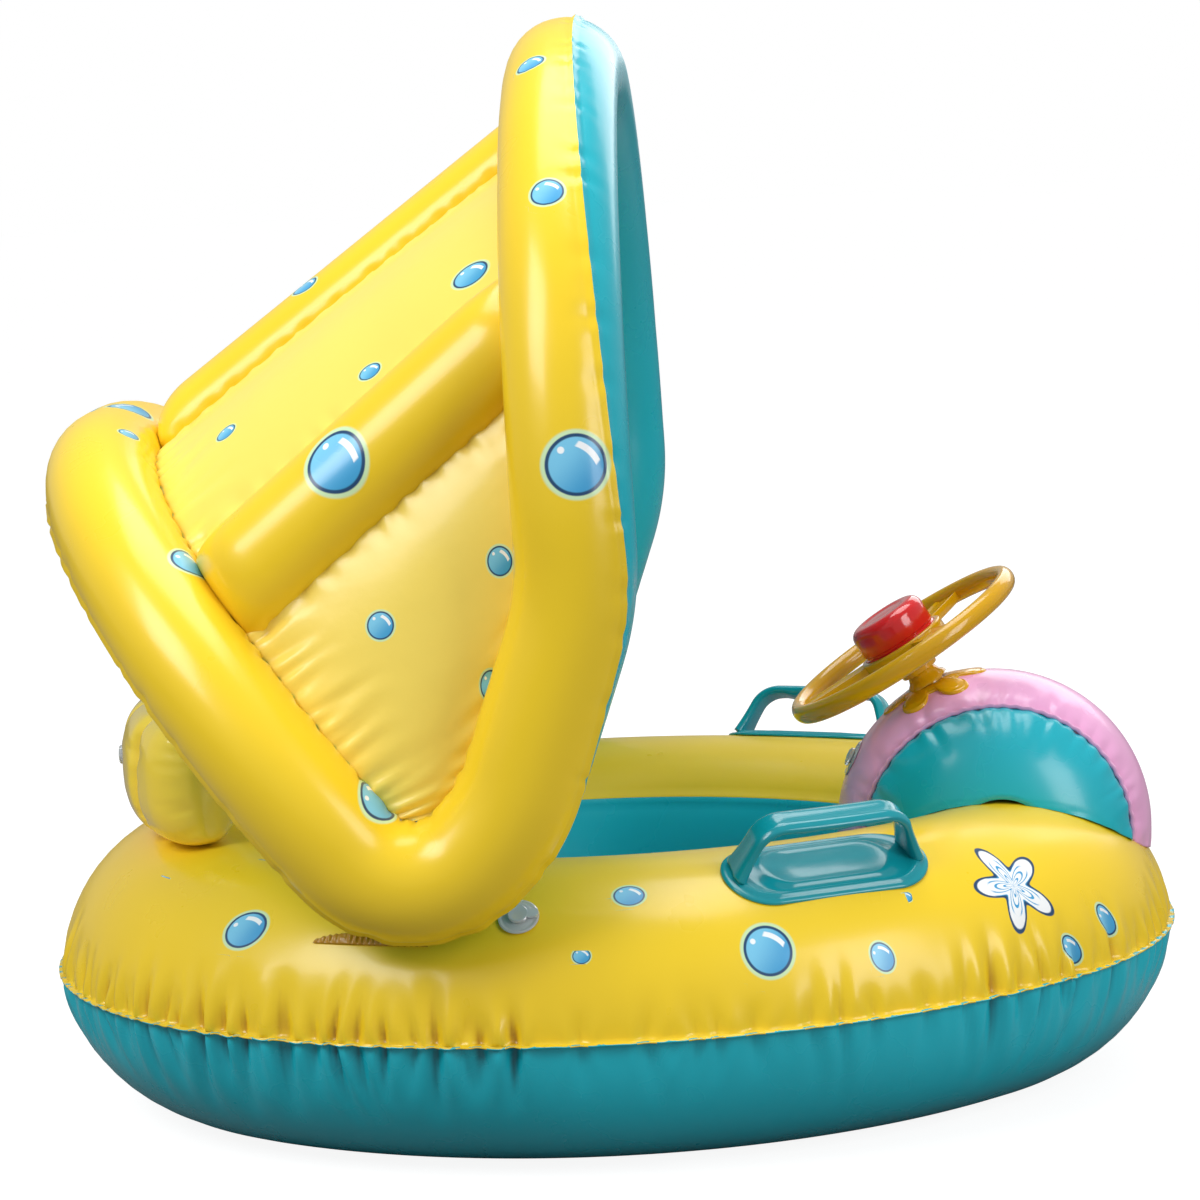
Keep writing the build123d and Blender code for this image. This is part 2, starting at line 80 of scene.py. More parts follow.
class FloatHullSizes(bpy.types.PropertyGroup):
    """Sizes of the ring, seat, cushion and console."""

    half_width: length("Half width", "Half width of the ring's centreline", 0.198)
    stern_radius: length("Stern radius", "Plan radius of the stern arc", 0.176)
    bow_radius: length("Bow radius", "Plan radius of the bow arc", 0.150)
    side_radius: length("Side radius", "Plan radius of the two side arcs", 0.326)
    tube_radius: length("Tube radius", "Radius of the inflated ring", 0.088)
    middle_height: length("Seam height", "Height of the ring's weld seam", 0.0867)
    lip_width: length("Lip width", "Width of the weld lip outside each seam", 0.0045)
    film: length("Film", "Thickness of the inflated skins", 0.001)
    seat_gap: length("Seat gap", "Gap between a part and what it rests on", 0.0003)
    console_x: length("Console place", "Distance of the console's axis ahead of the middle", 0.244)
    console_height: length("Console height", "Height of the console's axis", 0.145)
    console_radius: length("Console radius", "Largest radius of the console", 0.098)
    console_crown: length("Console crown", "Radius of the console's crowned section", 0.085)
    band_half_width: length("Band half width", "Half width of the console's centre band", 0.045)
    cushion_radius: length("Cushion radius", "Plan radius of the backrest's middle", 0.190)
    cushion_depth: length("Cushion depth", "Front to back size of the backrest", 0.060)
    cushion_height: length("Cushion height", "Height of the backrest", 0.080)


class FloatCanopySizes(bpy.types.PropertyGroup):
    """Sizes of the canopy's hoops, ribs and films."""

    tube_radius: length("Hoop radius", "Radius of the two hoops", 0.035)
    rib_radius: length("Rib radius", "Radius of the three ribs", 0.034)
    corner_x: length("Corner place", "Fore and aft place of the rounded corners", -0.097)
    corner_y: length("Corner spread", "Distance of each corner from the middle", 0.274)
    corner_z: length("Corner height", "Height of the tilting axis", 0.232)
    corner_radius: length("Corner radius", "Bend radius of each corner", 0.050)
    crest_radius: length("Crest radius", "Bend radius at the top of each hoop", 0.255)
    rear_crest_x: length("Rear crest place", "Fore and aft place of the rear crest", -0.300)
    front_crest_x: length("Front crest place", "Fore and aft place of the front crest", -0.002)
    front_crest_z: length("Front crest height", "Height of the front hoop's centreline at its top", 0.630)
    film: length("Panel film", "Thickness of the panels between the tubes", 0.0012)
    crown: length("Panel crown", "How far a panel bellies out", 0.005)


class FloatFilmDetail(bpy.types.PropertyGroup):
    """How the films pucker and how the prints are laid."""

    pucker_depth: length("Pucker depth", "Depth of the puckers along the ring's seam", 0.0072)
    pucker_pitch: length("Pucker pitch", "Usual distance between puckers", 0.0150)
    wrinkle_depth: length("Wrinkle depth", "Depth of the wrinkles along the canopy's welds", 0.0028)
    seed: IntProperty(name="Seed", description="Start of the random draws", default=7)


class FloatColours(bpy.types.PropertyGroup):
    """Colours of the films and mouldings."""

    yellow: colour("Yellow film", "Printed film of ring and canopy", (0.95, 0.66, 0.02))
    teal: colour("Teal film", "Lower ring, canopy lining and console cheeks", (0.01, 0.49, 0.60))
    pink: colour("Pink film", "Console's centre band", (0.95, 0.46, 0.76))
    pale_yellow: colour("Pale yellow film", "Backrest film", (1.0, 0.74, 0.06))
    amber: colour("Amber plastic", "Steering wheel and its post", (1.0, 0.54, 0.004))
    grip: colour("Grip", "Moulded handles", (0.005, 0.36, 0.43))
    red: colour("Horn", "Horn button", (0.95, 0.015, 0.018))
    # Paler than the yellow film: painted light standing in for light shining through the single film.
    panel: colour("Panel film", "Single films between the canopy's tubes", (0.98, 0.76, 0.13))
    drop: colour("Drop print", "Printed water drops", (0.05, 0.36, 0.68))
    outline: colour("Print outline", "Dark line round the prints", (0.01, 0.06, 0.16))
    clear: colour("Clear vinyl", "Valves", (0.88, 0.92, 0.95))
    rubber: colour("Rubber", "Squeaker", (0.80, 0.76, 0.66))


SETTINGS = {
    "float_hull": FloatHullSizes,
    "float_canopy": FloatCanopySizes,
    "float_detail": FloatFilmDetail,
    "float_colours": FloatColours,
}


def hull_sizes():
    return bpy.context.scene.float_hull


def canopy_sizes():
    return bpy.context.scene.float_canopy


def detail():
    return bpy.context.scene.float_detail


def colours():
    return bpy.context.scene.float_colours


# ---------------------------------------------------------------- mesh helpers


def act_on(obj):
    """Leave only this object selected and active."""
    bpy.ops.object.select_all(action="DESELECT")
    obj.select_set(True)
    bpy.context.view_layer.objects.active = obj


def apply_modifier(obj, kind, **values):
    """Add a modifier with these settings and apply it."""
    act_on(obj)
    bpy.ops.object.modifier_add(type=kind)
    modifier = obj.modifiers[-1]
    for name, value in values.items():
        setattr(modifier, name, value)
    bpy.ops.object.modifier_apply(modifier=modifier.name)
    return obj


def combine(target, other, operation):
    """Cut the other solid out of the target, or join it on, and throw the other away."""
    act_on(target)
    bpy.ops.object.modifier_add(type="BOOLEAN")
    modifier = target.modifiers[-1]
    modifier.object, modifier.operation, modifier.solver = other, operation, "EXACT"
    bpy.ops.object.modifier_apply(modifier=modifier.name)
    bpy.data.objects.remove(other)
    return target


def smooth(obj, angle=None):
    """Shade smooth, or only where faces meet below an angle in degrees."""
    act_on(obj)
    if angle is None:
        bpy.ops.object.shade_smooth()
    else:
        bpy.ops.object.shade_smooth_by_angle(angle=math.radians(angle))
    return obj


def grid_piece(
    name, points, outward, wrap=(False, False), caps=False, thickness=0.0, materials=(), inside=0, folds=None
):
    """A skin from a grid of points.

    outward says which side is the outside, and folds how deep each point is creased, which the film materials
    darken into painted shade.
    """
    rows, cols = points.shape[:2]
    index = np.arange(rows * cols).reshape(rows, cols)
    if wrap[0]:
        index = np.vstack([index, index[:1]])
    if wrap[1]:
        index = np.hstack([index, index[:, :1]])
    corners = (index[:-1, :-1], index[1:, :-1], index[1:, 1:], index[:-1, 1:])
    quads = np.stack(corners, -1).reshape(-1, 4)
    flat = points.reshape(-1, 3)
    away = outward.reshape(-1, 3)[quads[:, 0]]
    normal = np.cross(flat[quads[:, 2]] - flat[quads[:, 0]], flat[quads[:, 3]] - flat[quads[:, 1]])
    turned = (normal * away).sum() < 0
    faces = (quads[:, ::-1] if turned else quads).tolist()
    if caps:
        first, last = index[0, :cols].tolist(), index[-1, :cols].tolist()
        faces += [first, last[::-1]] if turned else [first[::-1], last]
    mesh = bpy.data.meshes.new(name)
    mesh.from_pydata(flat.tolist(), [], faces)
    mesh.update()
    obj = bpy.data.objects.new(name, mesh)
    bpy.context.scene.collection.objects.link(obj)
    for material in materials:
        mesh.materials.append(material)
    if folds is not None:
        # crease depth that the film materials turn into painted shade
        creases = mesh.attributes.new("fold", "FLOAT", "POINT")
        creases.data.foreach_set("value", folds.astype(np.float32).ravel())
    smooth(obj)
    if caps:
        made = bmesh.new()
        made.from_mesh(mesh)
        bmesh.ops.recalc_face_normals(made, faces=made.faces)
        made.to_mesh(mesh)
        made.free()
    if thickness:
        apply_modifier(
            obj, "SOLIDIFY", thickness=thickness, offset=-1, use_even_offset=False, material_offset=inside
        )
    return obj


def dress_solid(obj, material, angle, place):
    """Give a modelled solid its one material, its shading and its place."""
    obj.data.materials.clear()
    obj.data.materials.append(material)
    smooth(obj, angle)
    return settle(obj, place)


def closed_bar(name, rows, aways, material):
    """A skin through closed rings, capped at both ends."""
    return grid_piece(
        name, np.array(rows), np.array(aways), wrap=(False, True), caps=True, materials=[material]
    )


def add_vector(obj, name, values):
    """A vector kept on every vertex."""
    attribute = obj.data.attributes.new(name, "FLOAT_VECTOR", "POINT")
    attribute.data.foreach_set("vector", np.asarray(values, np.float32).ravel())


def vertex_places(obj):
    """The places of all vertices, one row each."""
    co = np.zeros(len(obj.data.vertices) * 3)
    obj.data.vertices.foreach_get("co", co)
    return co.reshape(-1, 3)


def finish_piece(obj, body, stands_for=()):
    """Fix a piece to its body, and hide the nodes that it stands for."""
    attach(obj, body)
    if stands_for:
        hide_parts(*stands_for)
    return obj


def unit(vectors):
    """Vectors made one long."""
    return vectors / np.maximum(np.linalg.norm(vectors, axis=-1, keepdims=True), 1e-12)


# ---------------------------------------------------------------- the ring's shape


def plan_arcs():
    """Centre x, centre y, radius, start and sweep of the ring's four arcs, going round."""
    s = hull_sizes()
    drop = s.side_radius - s.half_width
    to_stern = math.sqrt((s.side_radius - s.stern_radius) ** 2 - drop**2)
    to_bow = math.sqrt((s.side_radius - s.bow_radius) ** 2 - drop**2)
    side_x = (to_stern + s.stern_radius - to_bow - s.bow_radius) / 2
    aft = math.atan2(drop, -to_stern)
    fore = math.atan2(drop, to_bow)
    return [
        (side_x + to_bow, 0, s.bow_radius, -fore, 2 * fore),
        (side_x, -drop, s.side_radius, fore, aft - fore),
        (side_x - to_stern, 0, s.stern_radius, aft, 2 * math.pi - 2 * aft),
        (side_x, drop, s.side_radius, -aft, aft - fore),
    ]


def ring_stations(count, reach):
    """Centreline points, outward ways and arc lengths at equal steps, measured a reach outside it."""
    arcs = plan_arcs()
    lengths = [(radius + reach) * sweep for x, y, radius, start, sweep in arcs]
    centres, normals, places = [], [], []
    for k in range(count):
        s = sum(lengths) * k / count
        places.append(s)
        for (x, y, radius, start, sweep), run in zip(arcs, lengths):
            if s <= run:
                break
            s -= run
        turn = start + sweep * s / run
        out = np.array([math.cos(turn), math.sin(turn), 0.0])
        centres.append(np.array([x, y, 0.0]) + radius * out)
        normals.append(out)
    return np.array(centres), np.array(normals), np.array(places), sum(lengths)


def side_arc(side):
    """The ring's arc on one side."""
    return plan_arcs()[1 if side > 0 else 3]


def ring_clearance(points):
    """Distance of points from the ring's skin, positive outside it."""
    s = hull_sizes()
    arcs = plan_arcs()
    best = np.full(points.shape[:-1], 1e9)
    for x, y, radius, start, sweep in arcs:
        dx, dy = points[..., 0] - x, points[..., 1] - y
        turn = np.mod(np.arctan2(dy, dx) - start, 2 * math.pi)
        off = np.hypot(dx, dy) - radius
        gap = np.hypot(off, points[..., 2] - s.middle_height)
        best = np.where((turn <= sweep) & (gap < best), gap, best)
    return best - s.tube_radius


def pucker_list(draw, total, pitch, depth, reach, busy=None):
    """Place, depth, width, reach and lean of the puckers along a seam."""
    found, s = [], 0.0
    while s < total:
        rush = busy(s) if busy else 1.0
        s += pitch * draw.uniform(0.45, 1.6) / max(rush, 0.2)
        strength = draw.uniform(0.5, 1.0) * rush
        found.append(
            (
                s,
                depth * strength,
                draw.uniform(0.0030, 0.0056),
                reach * draw.uniform(0.55, 1.1) * (0.6 + 0.4 * rush),
                draw.uniform(-0.18, 0.18),
            )
        )
    return found


def pucker_field(s, t, puckers, total):
    """Inward depth of the puckers at arc length s and distance t from the seam."""
    s, t = np.broadcast_arrays(s, t)
    depth = np.zeros(s.shape)
    for place, deep, wide, reach, lean in puckers:
        near = (t < reach) & (t >= 0)
        off = np.mod(s - place - lean * t + total / 2, total) - total / 2
        near &= np.abs(off) < 5 * wide
        if not near.any():
            continue
        d, u = off[near], t[near] / reach
        spread = wide * (0.75 + 0.6 * u)
        valley = np.exp(-np.abs(d / spread) ** 1.4)
        shoulder = 0.45 * np.exp(-(((np.abs(d) - 2.0 * spread) / spread) ** 2))
        fade = (1 - u) ** 1.3 * (0.7 + 0.3 * np.clip(t[near] / 0.006, 0, 1))
        depth[near] += deep * fade * (valley - shoulder)
    return depth


# ---------------------------------------------------------------- prints

# Printed drops on the ring: plan azimuth, angle round the tube from its outer seam,
# half width and half height in mm, lean
HULL_DROPS = [
    (-155, 58, 6.0, 4.2, 30),
    (-144, 78, 5.5, 4.2, 20),
    (-138, 41, 14.0, 11.5, 25),
    (-92, 33, 5.2, 4.6, 0),
    (-85, 59, 9.0, 8.0, 0),
    (-67, 30, 14.0, 15.0, 10),
    (-52, 22, 7.0, 9.0, 20),
    (-46, 44, 3.8, 3.4, 0),
    (-26, 10, 6.0, 10.0, 30),
    (-20.5, 17, 6.5, 11.0, 30),
]


def local_print(points, centre, right, up, half_width, half_height):
    """Coordinates on a print, 1 at its edge."""
    d = points - centre
    flat = np.stack([d @ right / half_width, d @ up / half_height, np.zeros(len(d))], -1)
    depth = np.abs(d @ np.cross(right, up))
    flat[depth > 2.5 * max(half_width, half_height)] = FAR
    return flat


def nearest_print(points, prints):
    """For each point, its coordinates on the nearest print."""
    best = np.full((len(points), 3), FAR)
    size = np.full(len(points), 1e9)
    for place in prints:
        flat = local_print(points, *place)
        far = np.hypot(flat[:, 0], flat[:, 1])
        closer = far < size
        best[closer], size[closer] = flat[closer], far[closer]
    best[size > PRINT_REACH] = (FAR, FAR, 1)
    return best


def plain_print(obj):
    """Coordinates that keep a print off a whole piece."""
    return np.tile((FAR, FAR, 1.0), (len(obj.data.vertices), 1))


def print_frame(point, normal, lean, half_width, half_height):
    """A print on a skin: centre, right, up and half sizes in metres, turned by its lean."""
    normal = normal / np.linalg.norm(normal)
    up = UP - normal * normal[2]
    up /= np.linalg.norm(up)
    right = np.cross(up, normal)
    turn = math.radians(lean)
    r = right * math.cos(turn) + up * math.sin(turn)
    u = up * math.cos(turn) - right * math.sin(turn)
    return (point, r, u, half_width, half_height)


def ring_skin_point(azimuth, height):
    """Point and normal on the ring's skin from its plan azimuth and angle round the tube."""
    s = hull_sizes()
    centres, normals = ring_stations(720, 0.0)[:2]
    turn = np.arctan2(centres[:, 1], centres[:, 0]) - math.radians(azimuth)
    k = np.argmin(np.abs(np.mod(turn + math.pi, 2 * math.pi) - math.pi))
    lift = math.radians(height)
    normal = normals[k] * math.cos(lift) + np.array([0, 0, math.sin(lift)])
    return centres[k] + np.array([0, 0, s.middle_height]) + s.tube_radius * normal, normal


def ring_prints(draw):
    """The placed drops on the starboard side and scattered ones elsewhere."""
    prints = []
    for azimuth, height, wide, high, lean in HULL_DROPS:
        point, normal = ring_skin_point(azimuth, height)
        prints.append(print_frame(point, normal, lean, wide * MM, high * MM))
    for k in range(14):
        point, normal = ring_skin_point(20 + 158 * (k + draw.uniform(0, 0.6)) / 14, draw.uniform(22, 62))
        wide = draw.choice([0.005, 0.007, 0.009, 0.015])
        prints.append(print_frame(point, normal, draw.uniform(-30, 30), wide, wide * draw.uniform(0.8, 1.15)))
    return prints


# ---------------------------------------------------------------- materials


def node(tree, kind, **inputs):
    """Add a node with values set on its inputs."""
    made = tree.nodes.new(kind)
    for name, value in inputs.items():
        made.inputs[name.replace("_", " ")].default_value = value
    return made


def math_node(tree, operation, first, second=0.0, third=None):
    """Add a sum on numbers or sockets, and return its result."""
    made = tree.nodes.new("ShaderNodeMath")
    made.operation = operation
    for slot, value in zip(made.inputs, (first, second, third)):
        if value is None:
            continue
        if isinstance(value, (int, float)):
            slot.default_value = value
        else:
            tree.links.new(value, slot)
    return made.outputs[0]


def soft_step(tree, value, low, high):
    """0 below low, 1 above high, smooth between; reversed if low is above high."""
    made = tree.nodes.new("ShaderNodeMapRange")
    made.interpolation_type = "SMOOTHSTEP"
    tree.links.new(value, made.inputs["Value"])
    if low > high:
        made.inputs["From Min"].default_value, made.inputs["From Max"].default_value = high, low
        made.inputs["To Min"].default_value, made.inputs["To Max"].default_value = 1, 0
    else:
        made.inputs["From Min"].default_value, made.inputs["From Max"].default_value = low, high
    return made.outputs["Result"]


def mix(tree, factor, first, second):
    """Mix two colours, each a socket or a colour."""
    made = tree.nodes.new("ShaderNodeMix")
    made.data_type = "RGBA"
    slots = (made.inputs["Factor"], made.inputs[6], made.inputs[7])
    for slot, value in zip(slots, (factor, first, second)):
        if isinstance(value, bpy.types.NodeSocket):
            tree.links.new(value, slot)
        elif isinstance(value, float):
            slot.default_value = value
        else:
            slot.default_value = (*value, 1)
    return made.outputs[2]


def new_group(name, inputs, outputs):
    """A node group with these sockets, and its two ends."""
    group = bpy.data.node_groups.new(name, "ShaderNodeTree")
    for label, kind, default in inputs:
        socket = group.interface.new_socket(label, in_out="INPUT", socket_type=kind)
        if default is not None:
            socket.default_value = default
    for label, kind in outputs:
        group.interface.new_socket(label, in_out="OUTPUT", socket_type=kind)
    return group, group.nodes.new("NodeGroupInput"), group.nodes.new("NodeGroupOutput")


def film_surface_group():
    """Soft ripple, fine grain and tone of welded vinyl film."""
    if "Vinyl surface" in bpy.data.node_groups:
        return bpy.data.node_groups["Vinyl surface"]
    group, given, out = new_group(
        "Vinyl surface",
        [
            ("Ripple scale", "NodeSocketFloat", 22.0),
            ("Grain scale", "NodeSocketFloat", 900.0),
            ("Roughness", "NodeSocketFloat", 0.32),
        ],
        [("Height", "NodeSocketFloat"), ("Roughness", "NodeSocketFloat"), ("Tone", "NodeSocketFloat")],
    )
    place = group.nodes.new("ShaderNodeTexCoord").outputs["Object"]
    ripple = node(group, "ShaderNodeTexNoise", Detail=3.0, Roughness=0.55)
    grain = node(group, "ShaderNodeTexNoise", Detail=2.0)
    tone = node(group, "ShaderNodeTexNoise", Scale=6.0, Detail=2.0)
    for texture in (ripple, grain, tone):
        group.links.new(place, texture.inputs["Vector"])
    group.links.new(given.outputs["Ripple scale"], ripple.inputs["Scale"])
    group.links.new(given.outputs["Grain scale"], grain.inputs["Scale"])
    height = math_node(group, "MULTIPLY_ADD", grain.outputs["Fac"], 0.06, ripple.outputs["Fac"])
    swing = math_node(group, "MULTIPLY_ADD", ripple.outputs["Fac"], 0.16, -0.08)
    rough = math_node(group, "ADD", swing, given.outputs["Roughness"])
    group.links.new(height, out.inputs["Height"])
    group.links.new(rough, out.inputs["Roughness"])
    group.links.new(soft_step(group, tone.outputs["Fac"], 0.3, 0.7), out.inputs["Tone"])
    return group


def print_group(name):
    """A group that draws a print, with its place split in X, Y, radius and whether a print is near."""
    group, given, out = new_group(
        name,
        [
            ("Place", "NodeSocketVector", None),
            ("Body", "NodeSocketColor", None),
            ("Outline", "NodeSocketColor", None),
        ],
        [("Colour", "NodeSocketColor"), ("Mask", "NodeSocketFloat")],
    )
    parts = node(group, "ShaderNodeSeparateXYZ")
    group.links.new(given.outputs["Place"], parts.inputs[0])
    x, y = parts.outputs["X"], parts.outputs["Y"]
    across = math_node(group, "MULTIPLY", x, x)
    radius = math_node(group, "SQRT", math_node(group, "MULTIPLY_ADD", y, y, across))
    near = math_node(group, "LESS_THAN", parts.outputs["Z"], 0.04)
    return group, given, out, x, y, radius, near


def drop_print_group():
    """A printed water drop: pale halo, dark outline, blue body and a white glint."""
    if "Drop print" in bpy.data.node_groups:
        return bpy.data.node_groups["Drop print"]
    group, given, out, x, y, radius, near = print_group("Drop print")
    halo = math_node(group, "MULTIPLY", soft_step(group, radius, 1.20, 1.10), near)
    ring = soft_step(group, radius, 1.04, 0.99)
    body = soft_step(group, radius, 0.93, 0.87)
    light = soft_step(group, math_node(group, "SUBTRACT", x, y), -0.9, 1.2)
    shade = mix(group, light, (0.20, 0.60, 0.86), given.outputs["Body"])
    # a long bowed glint inside one edge, and a small round one
    along = math_node(group, "MULTIPLY_ADD", x, 0.75, math_node(group, "MULTIPLY", y, -0.66))
    over = math_node(group, "MULTIPLY_ADD", x, 0.66, math_node(group, "MULTIPLY", y, 0.75))
    bow = math_node(group, "MULTIPLY_ADD", math_node(group, "MULTIPLY", along, along), 0.45, over)
    off_bow = math_node(group, "ABSOLUTE", math_node(group, "SUBTRACT", bow, 0.62))
    off_middle = math_node(group, "ABSOLUTE", math_node(group, "ADD", along, -0.05))
    glint = math_node(
        group, "MULTIPLY", soft_step(group, off_bow, 0.13, 0.09), soft_step(group, off_middle, 0.50, 0.42)
    )
    dot_x = math_node(group, "ADD", x, 0.48)
    dot_y = math_node(group, "ADD", y, -0.50)
    dot = math_node(group, "MULTIPLY_ADD", dot_y, dot_y, math_node(group, "MULTIPLY", dot_x, dot_x))
    glint = math_node(group, "MAXIMUM", glint, soft_step(group, dot, 0.018, 0.008))
    shade = mix(group, glint, shade, (0.95, 0.98, 1.0))
    line = mix(group, body, given.outputs["Outline"], shade)
    colour_out = mix(group, ring, (0.62, 0.84, 0.50), line)
    group.links.new(colour_out, out.inputs["Colour"])
    group.links.new(halo, out.inputs["Mask"])
    return group


def star_print_group():
    """A five-armed star print with spots, white with a blue edge."""
    if "Star print" in bpy.data.node_groups:
        return bpy.data.node_groups["Star print"]
    group, given, out, x, y, radius, near = print_group("Star print")
    arms = math_node(group, "COSINE", math_node(group, "MULTIPLY", math_node(group, "ARCTAN2", x, y), 5.0))
    edge = math_node(group, "MULTIPLY_ADD", arms, 0.26, 0.64)
    inside = math_node(group, "SUBTRACT", edge, radius)
    mask = math_node(group, "MULTIPLY", soft_step(group, inside, -0.05, -0.02), near)
    fill = soft_step(group, inside, 0.03, 0.07)
    rings = math_node(group, "SINE", math_node(group, "MULTIPLY", inside, 30.0))
    heart = soft_step(group, radius, 0.62, 0.5)
    stripe = math_node(group, "MULTIPLY", soft_step(group, rings, 0.45, 0.75), heart)
    white = mix(group, stripe, (0.93, 0.96, 0.97), given.outputs["Body"])
    group.links.new(mix(group, fill, given.outputs["Outline"], white), out.inputs["Colour"])
    group.links.new(mask, out.inputs["Mask"])
    return group


def shader(name, **values):
    """A material and its Principled shader with plain values set on its sockets."""
    material = bpy.data.materials.new(name)
    material.use_nodes = True
    bsdf = material.node_tree.nodes["Principled BSDF"]
    for label, value in values.items():
        bsdf.inputs[label.replace("_", " ")].default_value = value
    return material, material.node_tree, bsdf


def dress(tree, bsdf, rough, values, bump, deep, tones):
    """Give a shader the vinyl surface, and return the mix of its two tones."""
    surface = node(tree, "ShaderNodeGroup")
    surface.node_tree = film_surface_group()
    for label, value in {"Roughness": rough, **values}.items():
        surface.inputs[label].default_value = value
    tree.links.new(surface.outputs["Roughness"], bsdf.inputs["Roughness"])
    height = node(tree, "ShaderNodeBump", Strength=bump, Distance=deep)
    tree.links.new(surface.outputs["Height"], height.inputs["Height"])
    tree.links.new(height.outputs["Normal"], bsdf.inputs["Normal"])
    return mix(tree, surface.outputs["Tone"], *tones)


# Painted shade in creases: a film's colour is darkened towards these shares where it folds deep, warm for
# yellow and pink films, cool for teal.
WARM_CREASE_SHADE = (0.60, 0.44, 0.36)  # share of each colour left in the bottom of a crease, as painted shade
COOL_CREASE_SHADE = (0.3, 0.34, 0.36)


def film_material(name, colour_value, shade, rough=0.30, prints=(), ripple=22.0, bump=0.12, **values):
    """Glossy vinyl film with soft ripple, tone, painted shade in its creases and any prints."""
    if name in bpy.data.materials:
        return bpy.data.materials[name]
    settings = {"Coat_Weight": 0.25, "Coat_Roughness": 0.16, "IOR": 1.46, **values}
    material, tree, bsdf = shader(name, **settings)
    base = tuple(colour_value)
    tones = tuple(c * shade for c in base), base
    tone = dress(tree, bsdf, rough, {"Ripple scale": ripple}, bump, 0.002, tones)
    # Painted shade: the colour is mixed towards a darker crease colour where the fold attribute is deep.
    crease = node(tree, "ShaderNodeAttribute")
    crease.attribute_name = "fold"
    left = WARM_CREASE_SHADE if base[0] > base[2] else COOL_CREASE_SHADE
    deep = tuple(c * share for c, share in zip(base, left))
    tone = mix(tree, soft_step(tree, crease.outputs["Fac"], 0.0008, 0.0050), tone, deep)
    for kind, attribute in prints:
        place = node(tree, "ShaderNodeAttribute")
        place.attribute_name = attribute
        motif = node(tree, "ShaderNodeGroup")
        motif.node_tree = kind()
        motif.inputs["Body"].default_value = (*colours().drop, 1)
        motif.inputs["Outline"].default_value = (*colours().outline, 1)
        tree.links.new(place.outputs["Vector"], motif.inputs["Place"])
        tone = mix(tree, motif.outputs["Mask"], tone, motif.outputs["Colour"])
    tree.links.new(tone, bsdf.inputs["Base Color"])
    return material


def yellow_film():
    prints = [(drop_print_group, "drop"), (star_print_group, "star")]
    return film_material("yellow film", colours().yellow, 0.93, prints=prints)


def panel_film():
    # its paler colour is painted light for light shining through the single film
    prints = [(drop_print_group, "drop")]
    return film_material(
        "panel film", colours().panel, 0.95, rough=0.34, prints=prints, ripple=38.0, bump=0.22
    )


def teal_film():
    return film_material("teal film", colours().teal, 0.9, rough=0.28)


def pink_film():
    return film_material("pink film", colours().pink, 0.9, rough=0.26)


def pale_yellow_film():
    return film_material("pale yellow film", colours().pale_yellow, 0.92, rough=0.22, Coat_Weight=0.6)


def moulded_material(name, colour_value, rough, through, **values):
    """Moulded plastic with a fine orange-peel skin and slightly uneven colour."""
    if name in bpy.data.materials:
        return bpy.data.materials[name]
    settings = {"Transmission_Weight": through, "IOR": 1.49, "Coat_Weight": 0.3, "Coat_Roughness": 0.1}
    material, tree, bsdf = shader(name, **{**settings, **values})
    scales = {"Ripple scale": 60.0, "Grain scale": 500.0}
    base = tuple(colour_value)
    tones = tuple(c * 0.86 for c in base), base
    tree.links.new(dress(tree, bsdf, rough, scales, 0.05, 0.001, tones), bsdf.inputs["Base Color"])
    return material


def amber_plastic():
    return moulded_material("amber plastic", colours().amber, 0.16, 0.22, Coat_Weight=0.3)


def grip_vinyl():
    return moulded_material("grip vinyl", colours().grip, 0.2, 0.12)


def red_plastic():
    return moulded_material("red plastic", colours().red, 0.12, 0.1, Coat_Weight=0.6)


def clear_vinyl():
    return moulded_material("clear vinyl", colours().clear, 0.08, 0.45, Coat_Weight=0.8)


def squeaker_rubber():
    return moulded_material("squeaker rubber", colours().rubber, 0.5, 0.0, Coat_Weight=0.0)


# ---------------------------------------------------------------- hull pieces

# Angles round the ring's tube, from its outer seam over the top or bottom to its inner one
SECTION = [0.6, 2, 4, 6.5, 9, 12, 15, 18.5, 22, 26, 30, 35, 40, 46, 52, 58, 65, 72, 80, 88]
SECTION += [96, 104, 112, 120, 127, 132, 136, 138, 140, 144, 149, 154, 159, 164, 168, 172]
SECTION += [175.5, 177.5, 179.4]
WALL_WELD = 138  # where the yellow film is welded to the teal inner wall


